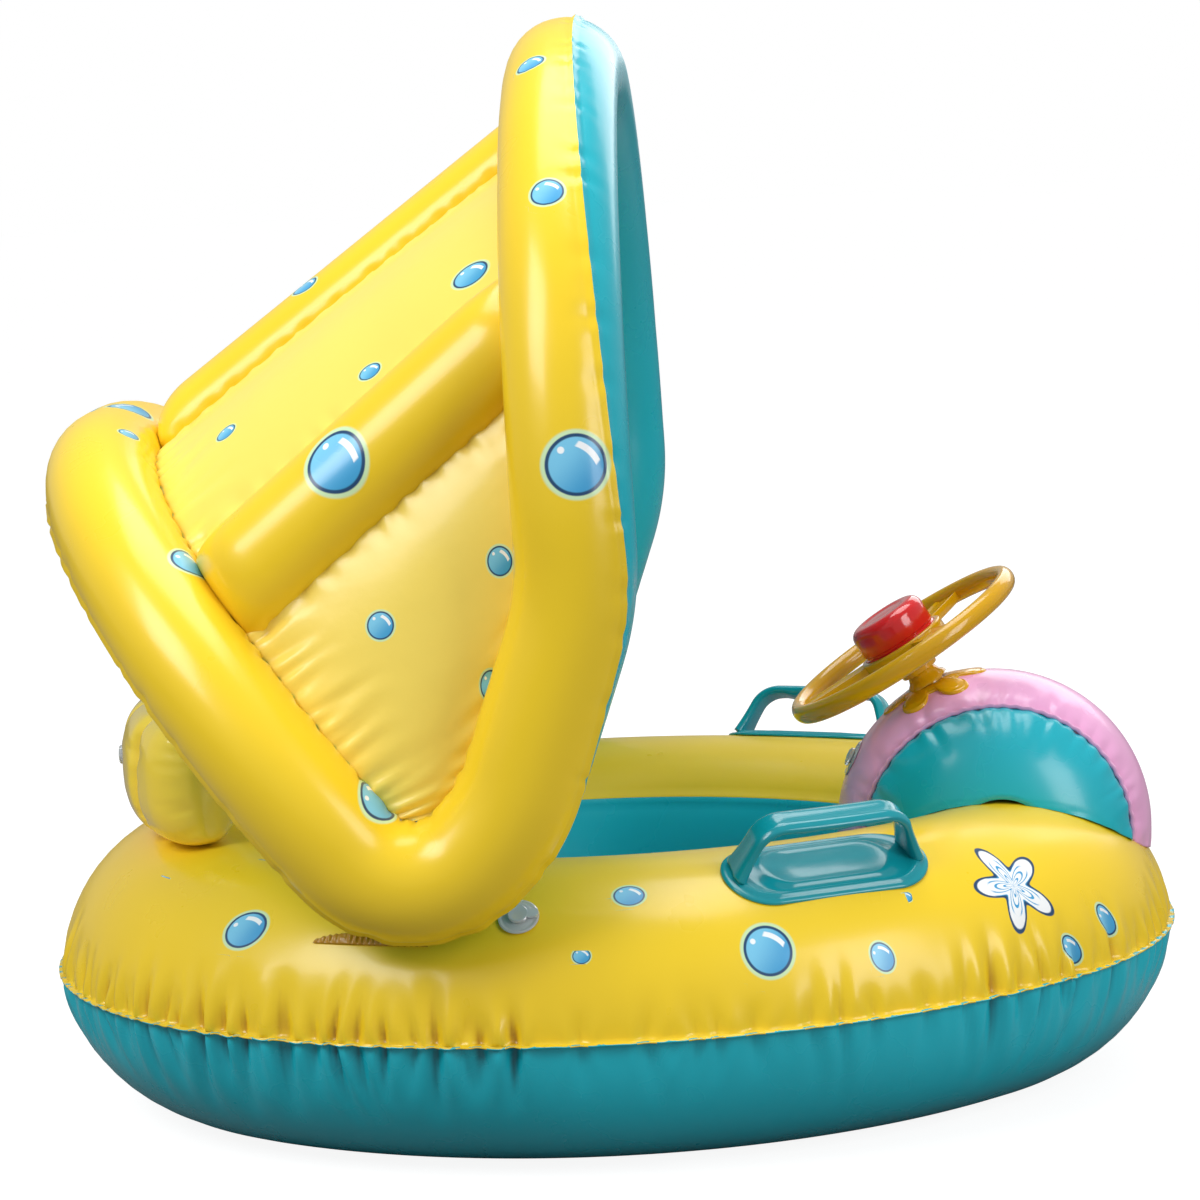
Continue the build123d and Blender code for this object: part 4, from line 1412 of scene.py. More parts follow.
def panel_grid():
    """Starboard film between the hoops, from near the corner to the crest, with its belly and wrinkles."""
    c, d = canopy_sizes(), detail()
    rails = hoop_rails()
    edges, splits, runs = [], [], []
    for front, angle in RIB_ANGLES:
        path, seam, _, _, run = along_rails(rails, front, ALONG)
        edges.append(path - seam * (c.tube_radius - FILM_SINK))
        splits.append(np.argmin(np.linalg.norm(path - arch_point(front, angle), axis=1)))
        runs.append(run)
    split, rows, cols = 0.55, 190, 84
    share = np.linspace(0.0, 1.0, rows)
    steps = np.arange(ALONG)
    lines = []
    for edge, at in zip(edges, splits):
        place = np.interp(share, [0, split, 1], [0, at, ALONG - 1])
        lines.append(np.stack([np.interp(place, steps, edge[:, k]) for k in range(3)], -1))
    a, b = lines
    keep = np.linalg.norm(b - a, axis=1) > 0.004
    a, b, share = a[keep], b[keep], share[keep]
    gap = np.linalg.norm(b - a, axis=1)[:, None]
    across = np.linspace(0, 1, cols)
    points = a[:, None, :] * (1 - across[None, :, None]) + b[:, None, :] * across[None, :, None]
    normal = unit(np.cross(np.gradient(points, axis=1), np.gradient(points, axis=0)))
    normal *= np.sign((normal * (points - np.array([-0.10, 0, 0.30]))).sum(-1).mean())
    low = np.sin(math.pi * np.clip(share / split, 0, 1))
    high = np.sin(math.pi * np.clip((share - split) / (1 - split), 0, 1))
    belly = np.sin(math.pi * across)[None, :] * c.crown * np.maximum(low, high)[:, None]
    rear_s = (share * runs[0])[:, None]
    from_rear, from_front = gap * across[None, :], gap * (1 - across)[None, :]
    draw = random.Random(d.seed + 8)
    wrinkles = pucker_list(draw, 1.0, 0.012, d.wrinkle_depth, 0.060)
    fainter = pucker_list(draw, 1.0, 0.019, d.wrinkle_depth * 0.5, 0.030)
    depth = pucker_field(rear_s, from_rear, wrinkles, 1.0) + pucker_field(rear_s, from_front, fainter, 1.0)
    for place, width, reach in ((split, c.rib_radius, 0.030), (1.0, c.rib_radius, 0.026)):
        lines = pucker_list(draw, 1.0, 0.016, d.wrinkle_depth * 0.8, reach)
        from_rib = np.abs(share - place)[:, None] * runs[0] - width * 0.9
        depth += pucker_field(from_rear, from_rib + 0 * from_rear, lines, 1.0)
    depth = np.minimum(depth, 0.12 * gap)
    return points + normal * (belly - depth)[..., None], normal, share, depth


class FLOAT_OT_panels(bpy.types.Operator):
    """Build the canopy's films between the hoops, one curved sheet a side"""

    bl_idname = "float.panels"
    bl_label = "Canopy films"

    def execute(self, context):
        points, normal, share, depth = panel_grid()
        cols = points.shape[1]
        prints = []
        for at, over, wide, high, lean in PANEL_DROPS:
            k, m = np.argmin(np.abs(share - at)), int(over * (cols - 1))
            prints.append(print_frame(points[k, m], normal[k, m], lean, wide * MM, high * MM))
        for side, word in reversed(SIDES):
            turn = MIRROR if side > 0 else 1
            film = grid_piece(
                f"canopy_{word}_film",
                points * turn,
                normal * turn,
                thickness=canopy_sizes().film,
                materials=[panel_film(), teal_film()],
                inside=1,
                folds=depth * 0.8,
            )
            mirrored = [(p * turn, r * turn, u * turn, w, h) for p, r, u, w, h in prints]
            add_vector(film, "drop", nearest_print(vertex_places(film), mirrored))
            add_vector(film, "star", plain_print(film))
            nodes = [f"canopy_{word}_roof", f"canopy_{word}_web"]
            finish_piece(film, "canopy", nodes)
        return {"FINISHED"}


# Printed drops on the ribs: share along from rear to front, angle round, half sizes in mm, lean
RIB_DROPS = {
    "starboard": [(0.45, 0, 18.0, 18.5, 0)],
    "port": [(0.40, 10, 18.0, 18.0, 0)],
    "centre": [(0.42, 30, 10.0, 7.0, 20)],
}


class FLOAT_OT_ribs(bpy.types.Operator):
    """Build the three inflated ribs with their pillow ends"""

    bl_idname = "float.ribs"
    bl_label = "Canopy ribs"

    def execute(self, context):
        c, d = canopy_sizes(), detail()
        for which in ("starboard", "port", "centre"):
            rear, front, out = rib_line(which)
            along = unit(front - rear)
            span = np.linalg.norm(front - rear)
            out = unit(out - along * (out @ along))
            side = np.cross(along, out)
            thick = 0.70 if which == "centre" else 0.90
            run = np.linspace(0.001, span + 0.006, 130)
            puff = 0.10 + (thick - 0.10) * pillow(run - run[0], 0.034) * pillow(run[-1] - run, 0.034)
            wide = 0.84 + 0.16 * pillow(run - run[0], 0.020)
            turn = np.radians(np.linspace(-90, 270, 60, endpoint=False))
            draw = random.Random(d.seed + 9)
            lines = pucker_list(draw, 1.0, 0.021, d.wrinkle_depth * 0.8, 0.014)
            degrees = np.degrees(turn)
            to_weld = np.minimum(np.abs(np.abs(degrees) - 90), np.abs(270 - degrees))
            depth = pucker_field(run[:, None], (to_weld / RADIAN * c.rib_radius)[None, :], lines, 1.0)
            radius = c.rib_radius - depth
            x = radius * np.cos(turn)[None, :] * puff[:, None]
            y = radius * np.sin(turn)[None, :] * wide[:, None]
            middle = rear[None, :] + along[None, :] * run[:, None]
            offset = out * x[..., None] + side * y[..., None]
            points = middle[:, None, :] + offset
            rib = grid_piece(
                f"canopy_{which}_pillow",
                points,
                offset,
                wrap=(False, True),
                caps=True,
                materials=[yellow_film(), teal_film()],
                folds=depth * 0.7,
            )
            lining = np.zeros(len(rib.data.polygons), np.int32)
            under = (degrees > 102) & (degrees < 258)
            inner = np.tile(under.astype(np.int32), len(run) - 1)
            lining[: len(inner)] = inner
            rib.data.polygons.foreach_set("material_index", lining)
            prints = []
            for at, angle, half_w, half_h, lean in RIB_DROPS[which]:
                tilt = math.radians(angle)
                normal = out * math.cos(tilt) + side * math.sin(tilt)
                spot = rear + along * span * at + normal * c.rib_radius
                prints.append(print_frame(spot, normal, lean, half_w * MM, half_h * MM))
            add_vector(rib, "drop", nearest_print(vertex_places(rib), prints))
            add_vector(rib, "star", plain_print(rib))
            finish_piece(rib, "canopy", [f"canopy_{which}_rib"])
        return {"FINISHED"}


class FLOAT_OT_welds(bpy.types.Operator):
    """Build the gathered weld strips that hold the canopy's corners to the ring"""

    bl_idname = "float.welds"
    bl_label = "Corner weld strips"

    def execute(self, context):
        for side, word in SIDES:
            low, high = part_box(f"canopy_weld_{word}")
            weld = gathered_strip(f"corner_weld_{word}", side, low.x, high.x)
            finish_piece(weld, "hull", [f"canopy_weld_{word}"])
            frill = gathered_frill(f"corner_frill_{word}", side, low.x - 0.004, high.x + 0.012)
            finish_piece(frill, "hull")
        return {"FINISHED"}


def gathered_strip(name, side, rear, front):
    """A short strip with small gathers, lying on the ring under a corner of the canopy."""
    s, c = hull_sizes(), canopy_sizes()
    arc = side_arc(side)
    xs = np.linspace(rear, front, 110)
    low_z = c.corner_z - c.corner_radius
    gathers = 9
    turn = np.linspace(0, 2 * math.pi, 28, endpoint=False)
    hull_y = arc[1] + side * np.sqrt(arc[2] ** 2 - (c.corner_x - arc[0]) ** 2)
    across = unit(np.array([0, side * c.corner_y - hull_y, low_z - s.middle_height]))
    lateral = np.cross(across, np.array([1.0, 0, 0]))
    rows, aways = [], []
    for x in xs:
        y = arc[1] + side * math.sqrt(arc[2] ** 2 - (x - arc[0]) ** 2)
        centre = np.array([x, y, s.middle_height])
        spread = (x - c.corner_x) ** 2 / (2 * (c.corner_radius + c.tube_radius))
        gather = 0.5 + 0.5 * math.cos((x - rear) / (front - rear) * 2 * math.pi * gathers)
        half = 0.0052 + 0.0016 * gather
        height = 0.0011 + 0.0004 * gather + min(spread, 0.0006)
        middle = centre + across * (s.tube_radius + height + 0.0003)
        offset = lateral * (np.cos(turn) * half)[:, None] + across * (np.sin(turn) * height)[:, None]
        ends = min(1.0, (x - rear) / 0.003 + 0.25, (front - x) / 0.003 + 0.25)
        rows.append(middle + offset * ends)
        aways.append(offset)
    return closed_bar(name, rows, aways, weld_film_painted_shade())


def gathered_frill(name, side, rear, front):
    """The crumpled edge of the weld, standing out from under the corner along the ring."""
    s = hull_sizes()
    arc = side_arc(side)
    draw = random.Random(detail().seed + 10)
    xs = np.linspace(rear, front, 170)
    turn = np.arctan2(side * np.sqrt(arc[2] ** 2 - (xs - arc[0]) ** 2), xs - arc[0])
    share = (xs - rear) / (front - rear)
    swell = np.sin(math.pi * share) ** 0.5
    phases = [(draw.uniform(45, 80), draw.uniform(0, 6), draw.uniform(0.6, 1)) for k in range(4)]
    wave = sum(size * np.sin(share * pace * 2 + phase) for pace, phase, size in phases) / 3
    rows, aways = [], []
    for across in np.linspace(0, 1, 9):
        tip = np.radians(29.5 - 5.0 * across * swell) - 0.012 * wave * across * swell
        lift = 0.0010 + (0.0022 + 0.0034 * wave) * across * (1.3 - across) * swell
        out = np.stack([np.cos(turn), np.sin(turn), 0 * turn], -1)
        height = math.radians(67) - tip
        normal = out * np.cos(height)[:, None] + UP * np.sin(height)[:, None]
        centre = np.array([arc[0], arc[1], s.middle_height]) + out * arc[2]
        rows.append(centre + normal * (s.tube_radius + lift)[:, None])
        aways.append(normal)
    points = np.stack(rows, 1)
    return grid_piece(name, points, np.stack(aways, 1), thickness=0.0008, materials=[weld_film_painted_shade()])


def weld_film_painted_shade():
    """Doubled, crumpled film at the corner welds, coloured a darker, browner yellow as painted shade from the
    canopy's corner above it.
    """
    # painted shade: the yellow film darkened and browned
    tan = tuple(v * share for v, share in zip(colours().yellow, (0.62, 0.42, 0.5)))
    return film_material("weld film", tan, 0.55, rough=0.22, ripple=260.0, bump=0.5)


# ---------------------------------------------------------------- steering wheel


WHEEL_LEAN = 31.0
WHEEL_PLACE = Matrix.Translation((0.191, 0, 0.263)) @ Matrix.Rotation(math.radians(-WHEEL_LEAN), 4, "Y")


def named(name):
    """The object just added, renamed."""
    obj = bpy.context.active_object
    obj.name = name
    obj.data.name = name
    return obj


def settle(obj, place=None):
    """Put the object's own transform, and a place, into its mesh."""
    act_on(obj)
    bpy.ops.object.transform_apply(location=True, rotation=True, scale=True)
    if place is not None:
        obj.data.transform(place)
    return obj


def pick(obj, kind, test):
    """Edit mode with only the faces or edges that pass the test selected."""
    act_on(obj)
    bpy.ops.object.mode_set(mode="EDIT")
    bpy.ops.mesh.select_mode(type=kind)
    bpy.ops.mesh.select_all(action="DESELECT")
    made = bmesh.from_edit_mesh(obj.data)
    for part in made.faces if kind == "FACE" else made.edges:
        part.select_set(bool(test(part)))
    bmesh.update_edit_mesh(obj.data)


def done_editing():
    """Leave edit mode."""
    bpy.ops.object.mode_set(mode="OBJECT")


def edit_all(obj):
    """Edit mode with the whole mesh selected."""
    act_on(obj)
    bpy.ops.object.mode_set(mode="EDIT")
    bpy.ops.mesh.select_all(action="SELECT")


def face_outwards():
    """Turn the faces of the mesh in edit mode outwards, and leave edit mode."""
    bpy.ops.mesh.select_all(action="SELECT")
    bpy.ops.mesh.normals_make_consistent(inside=False)
    done_editing()


def turned_part(name, profile, segments=96):
    """A part turned about Z: a disc extruded and scaled ring by ring along the profile, closed on top."""
    radius, z = profile[0]
    bpy.ops.object.select_all(action="DESELECT")
    bpy.ops.mesh.primitive_circle_add(vertices=segments, radius=radius, fill_type="NGON", location=(0, 0, z))
    part = named(name)
    settle(part)
    bpy.ops.object.mode_set(mode="EDIT")
    bpy.ops.mesh.select_mode(type="FACE")
    bpy.ops.mesh.select_all(action="SELECT")
    for next_radius, next_z in profile[1:]:
        bpy.ops.mesh.extrude_region_move(TRANSFORM_OT_translate={"value": (0, 0, next_z - z)})
        scale = next_radius / radius
        bpy.ops.transform.resize(value=(scale, scale, 1), center_override=(0, 0, next_z))
        radius, z = next_radius, next_z
    face_outwards()
    return part


def rounded_profile(radius, low, high, edge, steps=6, foot=None):
    """A turned profile with a rounded top edge."""
    foot = edge if foot is None else foot
    rows = [(radius - foot, low)]
    for k in range(1, steps + 1):
        turn = math.pi / 2 * k / steps
        rows.append((radius - foot + foot * math.sin(turn), low + foot - foot * math.cos(turn)))
    for k in range(steps + 1):
        turn = math.pi / 2 * k / steps
        rows.append((radius - edge + edge * math.cos(turn), high - edge + edge * math.sin(turn)))
    return rows


class FLOAT_OT_wheel(bpy.types.Operator):
    """Model the toy steering wheel: rim, three dished spokes and the cup for the horn"""

    bl_idname = "float.wheel"
    bl_label = "Steering wheel"

    def execute(self, context):
        bpy.ops.object.select_all(action="DESELECT")
        bpy.ops.mesh.primitive_torus_add(
            major_radius=0.0774, minor_radius=0.0051, major_segments=144, minor_segments=24
        )
        rim = named("wheel_rim")
        edit_all(rim)
        bpy.ops.transform.resize(value=(1, 1, 1.27), center_override=(0, 0, 0))
        done_editing()
        spokes = []
        for k in range(3):
            bpy.ops.object.select_all(action="DESELECT")
            bpy.ops.mesh.primitive_cube_add(
                size=1, location=(0.0525, 0, -0.0015), scale=(0.051, 0.018, 0.007)
            )
            spoke = settle(named("wheel_spoke"))
            pick(spoke, "FACE", lambda f: abs(f.normal.z) > 0.9)
            bpy.ops.mesh.inset(thickness=0.0032)
            bpy.ops.transform.resize(value=(1, 1, 0.55), center_override=(0.0525, 0, -0.0015))
            done_editing()
            pick(spoke, "EDGE", lambda e: abs(e.verts[0].co.z - e.verts[1].co.z) < 1e-6)
            bpy.ops.mesh.bevel(offset=0.0011, segments=3, affect="EDGES")
            done_editing()
            spoke.data.transform(Matrix.Rotation(math.radians(180 + 120 * k), 4, "Z"))
            spokes.append(spoke)
        hub = turned_part("wheel_hub", rounded_profile(0.029, -0.012, 0.003, 0.0014, 4, 0.003))
        boss = turned_part(
            "wheel_boss",
            [(0.0118, -0.0199), (0.0122, -0.0195), (0.0130, -0.0128), (0.0150, -0.0115), (0.0150, -0.011)],
        )
        wheel = rim
        for part in (*spokes, hub, boss):
            combine(wheel, part, "UNION")
        cup = turned_part("cup_cutter", [(0.0256, -0.008), (0.0256, 0.01)])
        bore = turned_part("bore_cutter", [(0.0062, -0.03), (0.0062, 0.0)], 48)
        for cutter in (cup, bore):
            combine(wheel, cutter, "DIFFERENCE")
        wheel.name = "toy_steering_wheel"
        dress_solid(wheel, amber_plastic(), 35, WHEEL_PLACE)
        finish_piece(wheel, "wheel", ["steering_wheel"])
        return {"FINISHED"}


class FLOAT_OT_horn(bpy.types.Operator):
    """Model the horn button and the squeaker under it, and give the washer that keeps the wheel on its clear
    vinyl
    """

    bl_idname = "float.horn"
    bl_label = "Horn button"

    def execute(self, context):
        rows = [(0.0252, -0.004), (0.0252, 0.0035), (0.0243, 0.0040), (0.0243, 0.0052), (0.0250, 0.0058)]
        for k in range(10):
            turn = math.pi / 2 * k / 9
            rows.append((0.0182 + 0.0068 * math.cos(turn), 0.017 + 0.0068 * math.sin(turn)))
        rows += [(0.0150, 0.02395), (0.0140, 0.0234), (0.0125, 0.0232), (0.0060, 0.0236), (0.0020, 0.0238)]
        button = turned_part("horn_cap", rows)
        pick(button, "FACE", lambda f: f.normal.z < -0.9 and f.calc_center_median().z < -0.0035)
        bpy.ops.mesh.delete(type="FACE")
        done_editing()
        apply_modifier(button, "SOLIDIFY", thickness=0.0019, offset=-1, use_even_offset=True)
        dress_solid(button, red_plastic(), 40, WHEEL_PLACE)
        finish_piece(button, "horn", ["horn_button"])
        rows = [(0.0120, 0.0062), (0.0138, 0.0070)]
        for k in range(3):
            z = 0.0070 + 0.0048 * k
            rows += [(0.0139, z + 0.0016), (0.0112, z + 0.0026), (0.0112, z + 0.0034), (0.0139, z + 0.0044)]
        bellows = turned_part("horn_bellows", rows + [(0.0100, 0.0216)], 64)
        dress_solid(bellows, squeaker_rubber(), 30, WHEEL_PLACE)
        finish_piece(bellows, "horn", ["horn_squeaker"])
        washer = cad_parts["wheel_retainer"]
        washer.data.materials.clear()
        washer.data.materials.append(clear_vinyl())
        return {"FINISHED"}


def console_distance(points):
    """Distance of points from the console's full round skin."""
    s = hull_sizes()
    radius = np.hypot(points[..., 0] - s.console_x, points[..., 2] - s.console_height)
    offset = s.console_radius - s.console_crown
    return np.hypot(radius - offset, points[..., 1]) - s.console_crown


def drop_to_console(u, v, lift):
    """World points above the console at wheel-plane places u, v and a height over the skin."""
    low, high = np.full(u.shape, -0.12), np.full(u.shape, 0.0)
    place = np.array(WHEEL_PLACE)
    for _ in range(40):
        w = (low + high) / 2
        points = np.stack([u, v, w], -1) @ place[:3, :3].T + place[:3, 3]
        above = console_distance(points) > lift
        high, low = np.where(above, w, high), np.where(above, low, w)
    return points


class FLOAT_OT_post(bpy.types.Operator):
    """Model the wheel's post and the six-lobed foot that is welded to the console"""

    bl_idname = "float.post"
    bl_label = "Post and foot"

    def execute(self, context):
        post = turned_part(
            "wheel_post",
            [(0.0100, -0.0360), (0.0100, -0.0290), (0.0138, -0.0283), (0.0132, -0.0268), (0.0108, -0.0245),
             (0.0098, -0.0222), (0.0092, -0.0204), (0.0059, -0.0203), (0.0059, -0.0046), (0.0053, -0.0040)],
            64,
        )
        dress_solid(post, amber_plastic(), 35, WHEEL_PLACE)
        finish_piece(post, "hull", ["steering_column"])
        turn = np.linspace(0, 2 * math.pi, 216, endpoint=False)
        lobe_place, lobe_radius, waist, bore = 0.026, 0.009, 0.020, 0.0102
        off = np.mod(turn + math.pi / 6, math.pi / 3) - math.pi / 6
        half_chord = np.sqrt(np.clip(lobe_radius**2 - (lobe_place * np.sin(off)) ** 2, 0, None))
        reach = lobe_place * np.cos(off) + half_chord
        lobe = np.abs(lobe_place * np.sin(off)) < lobe_radius
        edge = np.where(lobe, np.maximum(reach, waist), waist)
        edge = np.minimum(edge, (np.roll(edge, 1) + 2 * edge + np.roll(edge, -1)) / 4)
        stages = [(0.0, 0.0004), (0.0, 0.0031), (0.12, 0.0033), (0.3, 0.0033), (0.5, 0.0031), (0.7, 0.0029)]
        stages += [(0.84, 0.0027), (0.9, 0.0021), (0.945, 0.0026), (0.975, 0.0022), (0.995, 0.0012)]
        stages += [(0.99, 0.0004)]
        rows, aways = [], []
        for share, lift in stages:
            r = bore + (edge - bore) * share
            rows.append(drop_to_console(r * np.cos(turn), r * np.sin(turn), lift))
            aways.append(np.broadcast_to(np.array(WHEEL_PLACE)[:3, 2], rows[-1].shape))
        foot = grid_piece(
            "wheel_foot", np.array(rows), np.array(aways), wrap=(True, True), materials=[amber_plastic()]
        )
        edit_all(foot)
        face_outwards()
        finish_piece(foot, "hull", ["column_flange"])
        return {"FINISHED"}


# ---------------------------------------------------------------- handles


def handle_point(side, x, y, lift):
    """Point over the ring's skin at a place along and across a handle."""
    s = hull_sizes()
    arc = side_arc(side)
    slope, place = math.radians(24.0), math.radians(66.6)
    plan_radius = arc[2] + s.tube_radius * math.sin(slope)
    turn = place - x / plan_radius
    tip = slope + y / s.tube_radius
    radius = s.tube_radius + lift
    out = np.stack([np.cos(turn), side * np.sin(turn), 0 * turn], -1)
    normal = out * np.sin(tip)[..., None] + UP * np.cos(tip)[..., None]
    centre = np.array([arc[0], arc[1], s.middle_height]) + out * arc[2]
    return centre + normal * radius[..., None], normal


def handle_plate(side, word):
    """The welded plate with its raised ribs."""
    outline = slot_outline(0.128, 0.056, 200)
    stages = [(0.02, 0.0026), (0.2, 0.0026), (0.35, 0.0026), (0.45, 0.0026), (0.52, 0.0034), (0.56, 0.0038)]
    stages += [(0.60, 0.0034), (0.64, 0.0024), (0.72, 0.0022), (0.76, 0.0026), (0.795, 0.0036)]
    stages += [(0.83, 0.0036), (0.86, 0.0025), (0.92, 0.0021), (0.955, 0.0020), (0.985, 0.0016)]
    stages += [(1.0, 0.0008), (0.995, 0.0003), (0.5, 0.0003), (0.02, 0.0003)]
    rows, aways = [], []
    spine = np.clip(outline[:, 0], -0.036, 0.036)
    for share, lift in stages:
        x = spine * min(1, share * 1.15) + (outline[:, 0] - spine) * share
        y = outline[:, 1] * share
        points, normal = handle_point(side, x, y, np.full(x.shape, lift))
        rows.append(points)
        aways.append(normal)
    plate = closed_bar(f"handle_plate_{word}", rows, aways, grip_vinyl())
    return finish_piece(plate, "hull", [f"handle_{word}"])


def handle_grip(side, word):
    """The arched grip with finger waves underneath."""
    half_width, half_height, finger, plate_top = 0.010, 0.003, 0.0185, 0.0024
    corners = [(-0.055, 0, 0.0005), (-0.0405, 0, 0.031), (0.0405, 0, 0.031), (0.055, 0, 0.0005)]
    path = resample(filleted(corners, [0.0175, 0.0175], 0.0008), 150)[0]
    tangent = unit(np.gradient(path, axis=0))
    across = np.array([0, 1.0, 0])
    outer = unit(np.cross(tangent, across)) * -1
    outer *= np.sign(outer[len(path) // 2, 2])
    turn = np.linspace(0, 2 * math.pi, 32, endpoint=False)
    a, b = squared_circle(turn, 3.0)
    share = np.linspace(0, 1, len(path))
    foot = np.clip(np.minimum(share, 1 - share) / 0.16, 0, 1)
    flare = 1 + 0.35 * (1 - foot) ** 2
    flat = np.clip((np.minimum(share, 1 - share) - 0.27) / 0.06, 0, 1)
    wave = 0.0013 * flat * (0.5 + 0.5 * np.cos(path[:, 0] / finger * 2 * math.pi))
    rows, aways = [], []
    for k in range(len(path)):
        high = np.where(b > 0, half_height * b, (half_height + wave[k]) * b)
        ridge = 0.0007 * np.exp(-(((np.abs(a) - 0.55) / 0.16) ** 2)) * (b > 0)
        local = path[k] + across * (a * half_width * flare[k])[:, None]
        local = local + outer[k] * (high * flare[k] + ridge)[:, None]
        level = np.zeros(len(a))
        base, base_normal = handle_point(side, local[:, 0], level, level)
        beside = handle_point(side, local[:, 0], level + 1e-4, level)[0]
        lift = local[:, 2] + plate_top
        rows.append(base + base_normal * lift[:, None] + unit(beside - base) * local[:, 1][:, None])
        aways.append(rows[-1] - rows[-1].mean(0))
    grip = closed_bar(f"handle_grip_{word}", rows, aways, grip_vinyl())
    return finish_piece(grip, "hull")


class FLOAT_OT_handles(bpy.types.Operator):
    """Build the two moulded handles: ribbed plate and arched grip"""

    bl_idname = "float.handles"
    bl_label = "Handles"

    def execute(self, context):
        for side, word in SIDES:
            handle_plate(side, word)
            handle_grip(side, word)
        return {"FINISHED"}


# ---------------------------------------------------------------- valves


def valve_places():
    """Frames on the skins: origin just clear of the skin, Z out of it."""
    s, c = hull_sizes(), canopy_sizes()
    arc = side_arc(-1)
    turn, slope = math.radians(-95.0), math.radians(40.0)  # the hull's valve: plan azimuth, lean
    out = np.array([math.cos(turn), math.sin(turn), 0])
    normal = out * math.sin(slope) + np.array([0, 0, math.cos(slope)])
    hull_point = np.array([arc[0], arc[1], s.middle_height]) + out * arc[2] + normal * s.tube_radius
    turn = math.radians(152.0)  # the console's valve, round its axis from the bow
    console_normal = np.array([math.cos(turn), 0, math.sin(turn)])
    console_point = np.array([s.console_x, 0, s.console_height]) + console_normal * s.console_radius
    stern = plan_arcs()[2]
    back = np.array([-1.0, 0, 0])
    back_point = np.array([stern[0] - s.cushion_radius - s.cushion_depth / 2, 0, cushion_middle()])
    crest = arch_point(False, 90) * np.array([1, 0, 1]) + back * c.tube_radius
    return {
        "hull": (hull_point, normal, (1, 0, 0)),
        "console": (console_point, console_normal, (0, 1, 0)),
        "backrest": (back_point, back, (0, 1, 0)),
        "canopy": (crest, back, (0, 1, 0)),
    }


def axes_matrix(x, y, z, origin):
    """A placement from its three axes and its origin."""
    return Matrix([(*row, place) for row, place in zip(zip(x, y, z), origin)] + [(0, 0, 0, 1)])


def place_matrix(point, normal, along):
    """A placement on a skin: X along the skin, Z out of it."""
    z = Vector(normal).normalized()
    x = Vector(along)
    x = (x - z * x.dot(z)).normalized()
    y = z.cross(x)
    origin = Vector(point) + z * hull_sizes().seat_gap
    return axes_matrix(x, y, z, origin)


class FLOAT_OT_valves(bpy.types.Operator):
    """Model the four clear valves and their stoppers"""

    bl_idname = "float.valves"
    bl_label = "Valves"

    def execute(self, context):
        for name, (point, normal, along) in valve_places().items():
            place = place_matrix(point, normal, along)
            seat = turned_part(
                f"{name}_valve_seat",
                [(0.0048, -0.0080), (0.0055, -0.0074), (0.0055, 0.0001), (0.0112, 0.0001), (0.0120, 0.0005),
                 (0.0119, 0.0009), (0.0110, 0.0013), (0.0100, 0.0010), (0.0090, 0.0010), (0.0082, 0.0015),
                 (0.0064, 0.0015)],
                64,
            )
            bore = turned_part("bore_cutter", [(0.0038, -0.02), (0.0038, 0.01)], 48)
            combine(seat, bore, "DIFFERENCE")
            plug = turned_part(
                f"{name}_valve_stopper",
                [(0.0030, -0.0058), (0.0036, -0.0052), (0.0036, 0.0018), (0.0055, 0.0019), (0.0060, 0.0023),
                 (0.0060, 0.0037), (0.0055, 0.0042), (0.0030, 0.0040), (0.0010, 0.0039)],
                48,
            )
            bpy.ops.object.select_all(action="DESELECT")
            bpy.ops.mesh.primitive_cube_add(
                size=1, location=(0.0078, 0, 0.0030), scale=(0.0082, 0.0058, 0.0020)
            )
            tab = settle(named("stopper_tab"))
            pick(tab, "EDGE", lambda e: abs(e.verts[0].co.z - e.verts[1].co.z) > 1e-4)
            bpy.ops.mesh.bevel(offset=0.0024, segments=5, affect="EDGES")
            done_editing()
            combine(plug, tab, "UNION")
            for part, node_name, body in (
                (seat, f"{name}_valve", "canopy" if name == "canopy" else "hull"),
                (plug, f"{name}_valve_plug", f"{name}_plug"),
            ):
                dress_solid(part, clear_vinyl(), 35, place)
                finish_piece(part, body, [node_name])
        return {"FINISHED"}


# ---------------------------------------------------------------- stage


def studio_paper():
    """Pale paper that throws little light back up, so that undersides stay dark."""
    material, tree, bsdf = shader("studio paper", Specular_IOR_Level=0.1)
    grain = node(tree, "ShaderNodeTexNoise", Scale=90.0, Detail=4.0)
    tree.links.new(tree.nodes.new("ShaderNodeTexCoord").outputs["Object"], grain.inputs["Vector"])
    grey = mix(tree, grain.outputs["Fac"], (0.20, 0.20, 0.20), (0.23, 0.23, 0.23))
    tree.links.new(grey, bsdf.inputs["Base Color"])
    direct = tree.nodes.new("ShaderNodeLightPath").outputs["Is Camera Ray"]
    bsdf.inputs["Emission Color"].default_value = (1, 1, 1, 1)
    tree.links.new(math_node(tree, "MULTIPLY", direct, 0.90), bsdf.inputs["Emission Strength"])
    tree.links.new(math_node(tree, "MULTIPLY_ADD", grain.outputs["Fac"], 0.1, 0.75), bsdf.inputs["Roughness"])
    return material


def soft_box(name, place, aim, size, power):
    """A square studio light aimed at a place."""
    light = bpy.data.lights.new(name, "AREA")
    light.shape, light.size, light.size_y = "RECTANGLE", size[0], size[1]
    light.energy = power
    obj = bpy.data.objects.new(name, light)
    bpy.context.scene.collection.objects.link(obj)
    obj.location = place
    obj.rotation_euler = (Vector(aim) - Vector(place)).to_track_quat("-Z", "Y").to_euler()
    return obj


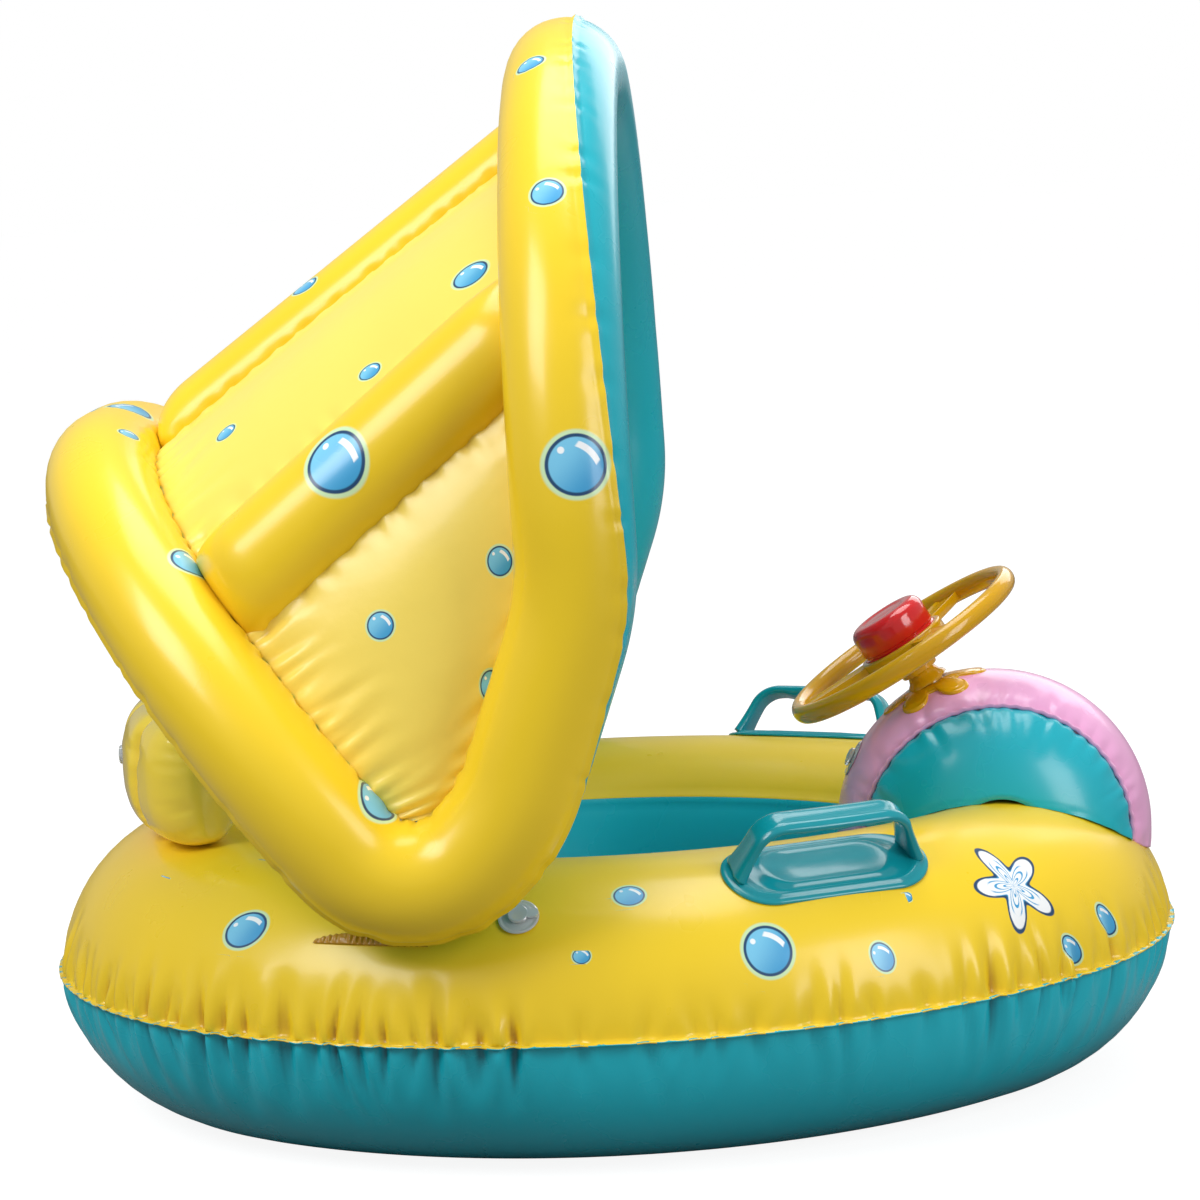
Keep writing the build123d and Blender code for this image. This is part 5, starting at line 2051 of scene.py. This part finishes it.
class FLOAT_OT_stage(bpy.types.Operator):
    """Set up the pale floor and backdrop, the soft lights and the camera"""

    bl_idname = "float.stage"
    bl_label = "Stage"

    def execute(self, context):
        bpy.ops.object.select_all(action="DESELECT")
        bpy.ops.mesh.primitive_plane_add(size=30, location=(0, 0, -0.0006))
        floor = settle(named("studio_floor"))
        floor.data.materials.append(studio_paper())
        smooth(floor)
        soft_box("key_box", (-1.5, -1.3, 1.9), (0, 0, 0.25), (1.2, 1.2), 34)
        soft_box("fill_box", (1.8, -1.5, 1.1), (0.05, 0, 0.25), (0.9, 1.5), 21)
        soft_box("top_box", (0.1, 0.3, 2.4), (0, 0, 0.2), (1.6, 1.6), 33)
        soft_box("back_box", (0.9, 2.0, 1.3), (0, 0, 0.3), (1.6, 1.2), 12)
        world = bpy.data.worlds.new("studio")
        world.use_nodes = True
        tree = world.node_tree
        background = tree.nodes["Background"]
        background.inputs["Color"].default_value = (1, 1, 1, 1)
        direct = tree.nodes.new("ShaderNodeLightPath").outputs["Is Camera Ray"]
        tree.links.new(math_node(tree, "MULTIPLY_ADD", direct, 0.60, 0.40), background.inputs["Strength"])
        bpy.context.scene.world = world
        bpy.context.scene.view_settings.view_transform = "Standard"
        make_camera()
        return {"FINISHED"}


def make_camera():
    """A long lens a little forward of the beam, slightly raised, rolled so that the bow rides up."""
    azimuth, rise, roll = (math.radians(v) for v in (3.0, 8.0, -3.0))
    distance = 2.4
    look = Vector((0, 0, 0.30))
    back = Vector((math.sin(azimuth) * math.cos(rise), -math.cos(azimuth) * math.cos(rise), math.sin(rise)))
    level = Vector((0, 0, 1)).cross(back).normalized()
    upright = back.cross(level)
    right = level * math.cos(roll) + upright * math.sin(roll)
    up = upright * math.cos(roll) - level * math.sin(roll)
    camera = bpy.data.objects.new("camera", bpy.data.cameras.new("camera"))
    bpy.context.scene.collection.objects.link(camera)
    spot = look + back * distance
    camera.matrix_world = axes_matrix(right, up, back, spot)
    camera.data.sensor_width = 36
    camera.data.lens = 113.8
    camera.data.shift_x = 0.0017
    bpy.context.scene.camera = camera


OPERATORS = [
    FLOAT_OT_stage,
    FLOAT_OT_hull,
    FLOAT_OT_seat,
    FLOAT_OT_backrest,
    FLOAT_OT_console,
    FLOAT_OT_hoops,
    FLOAT_OT_panels,
    FLOAT_OT_ribs,
    FLOAT_OT_welds,
    FLOAT_OT_wheel,
    FLOAT_OT_horn,
    FLOAT_OT_post,
    FLOAT_OT_handles,
    FLOAT_OT_valves,
]


class FLOAT_PT_panel(bpy.types.Panel):
    """Lists the sizes, colours and steps of the float"""

    bl_idname = "FLOAT_PT_panel"
    bl_label = "Swim float"
    bl_space_type = "VIEW_3D"
    bl_region_type = "UI"
    bl_category = "Swim float"

    def draw(self, context):
        column = self.layout.column()
        for name, kind in SETTINGS.items():
            column.label(text=kind.__doc__)
            for prop in kind.__annotations__:
                column.prop(getattr(context.scene, name), prop)
        for operator in OPERATORS:
            column.operator(operator.bl_idname)


def register():
    for kind in (*SETTINGS.values(), *OPERATORS, FLOAT_PT_panel):
        bpy.utils.register_class(kind)
    for name, kind in SETTINGS.items():
        setattr(bpy.types.Scene, name, PointerProperty(type=kind))


def unregister():
    for name in SETTINGS:
        delattr(bpy.types.Scene, name)
    for kind in reversed((*SETTINGS.values(), *OPERATORS, FLOAT_PT_panel)):
        bpy.utils.unregister_class(kind)


def main():
    register()
    for operator in OPERATORS:
        group, name = operator.bl_idname.split(".")
        getattr(getattr(bpy.ops, group), name)()


if __name__ == "__main__":
    main()
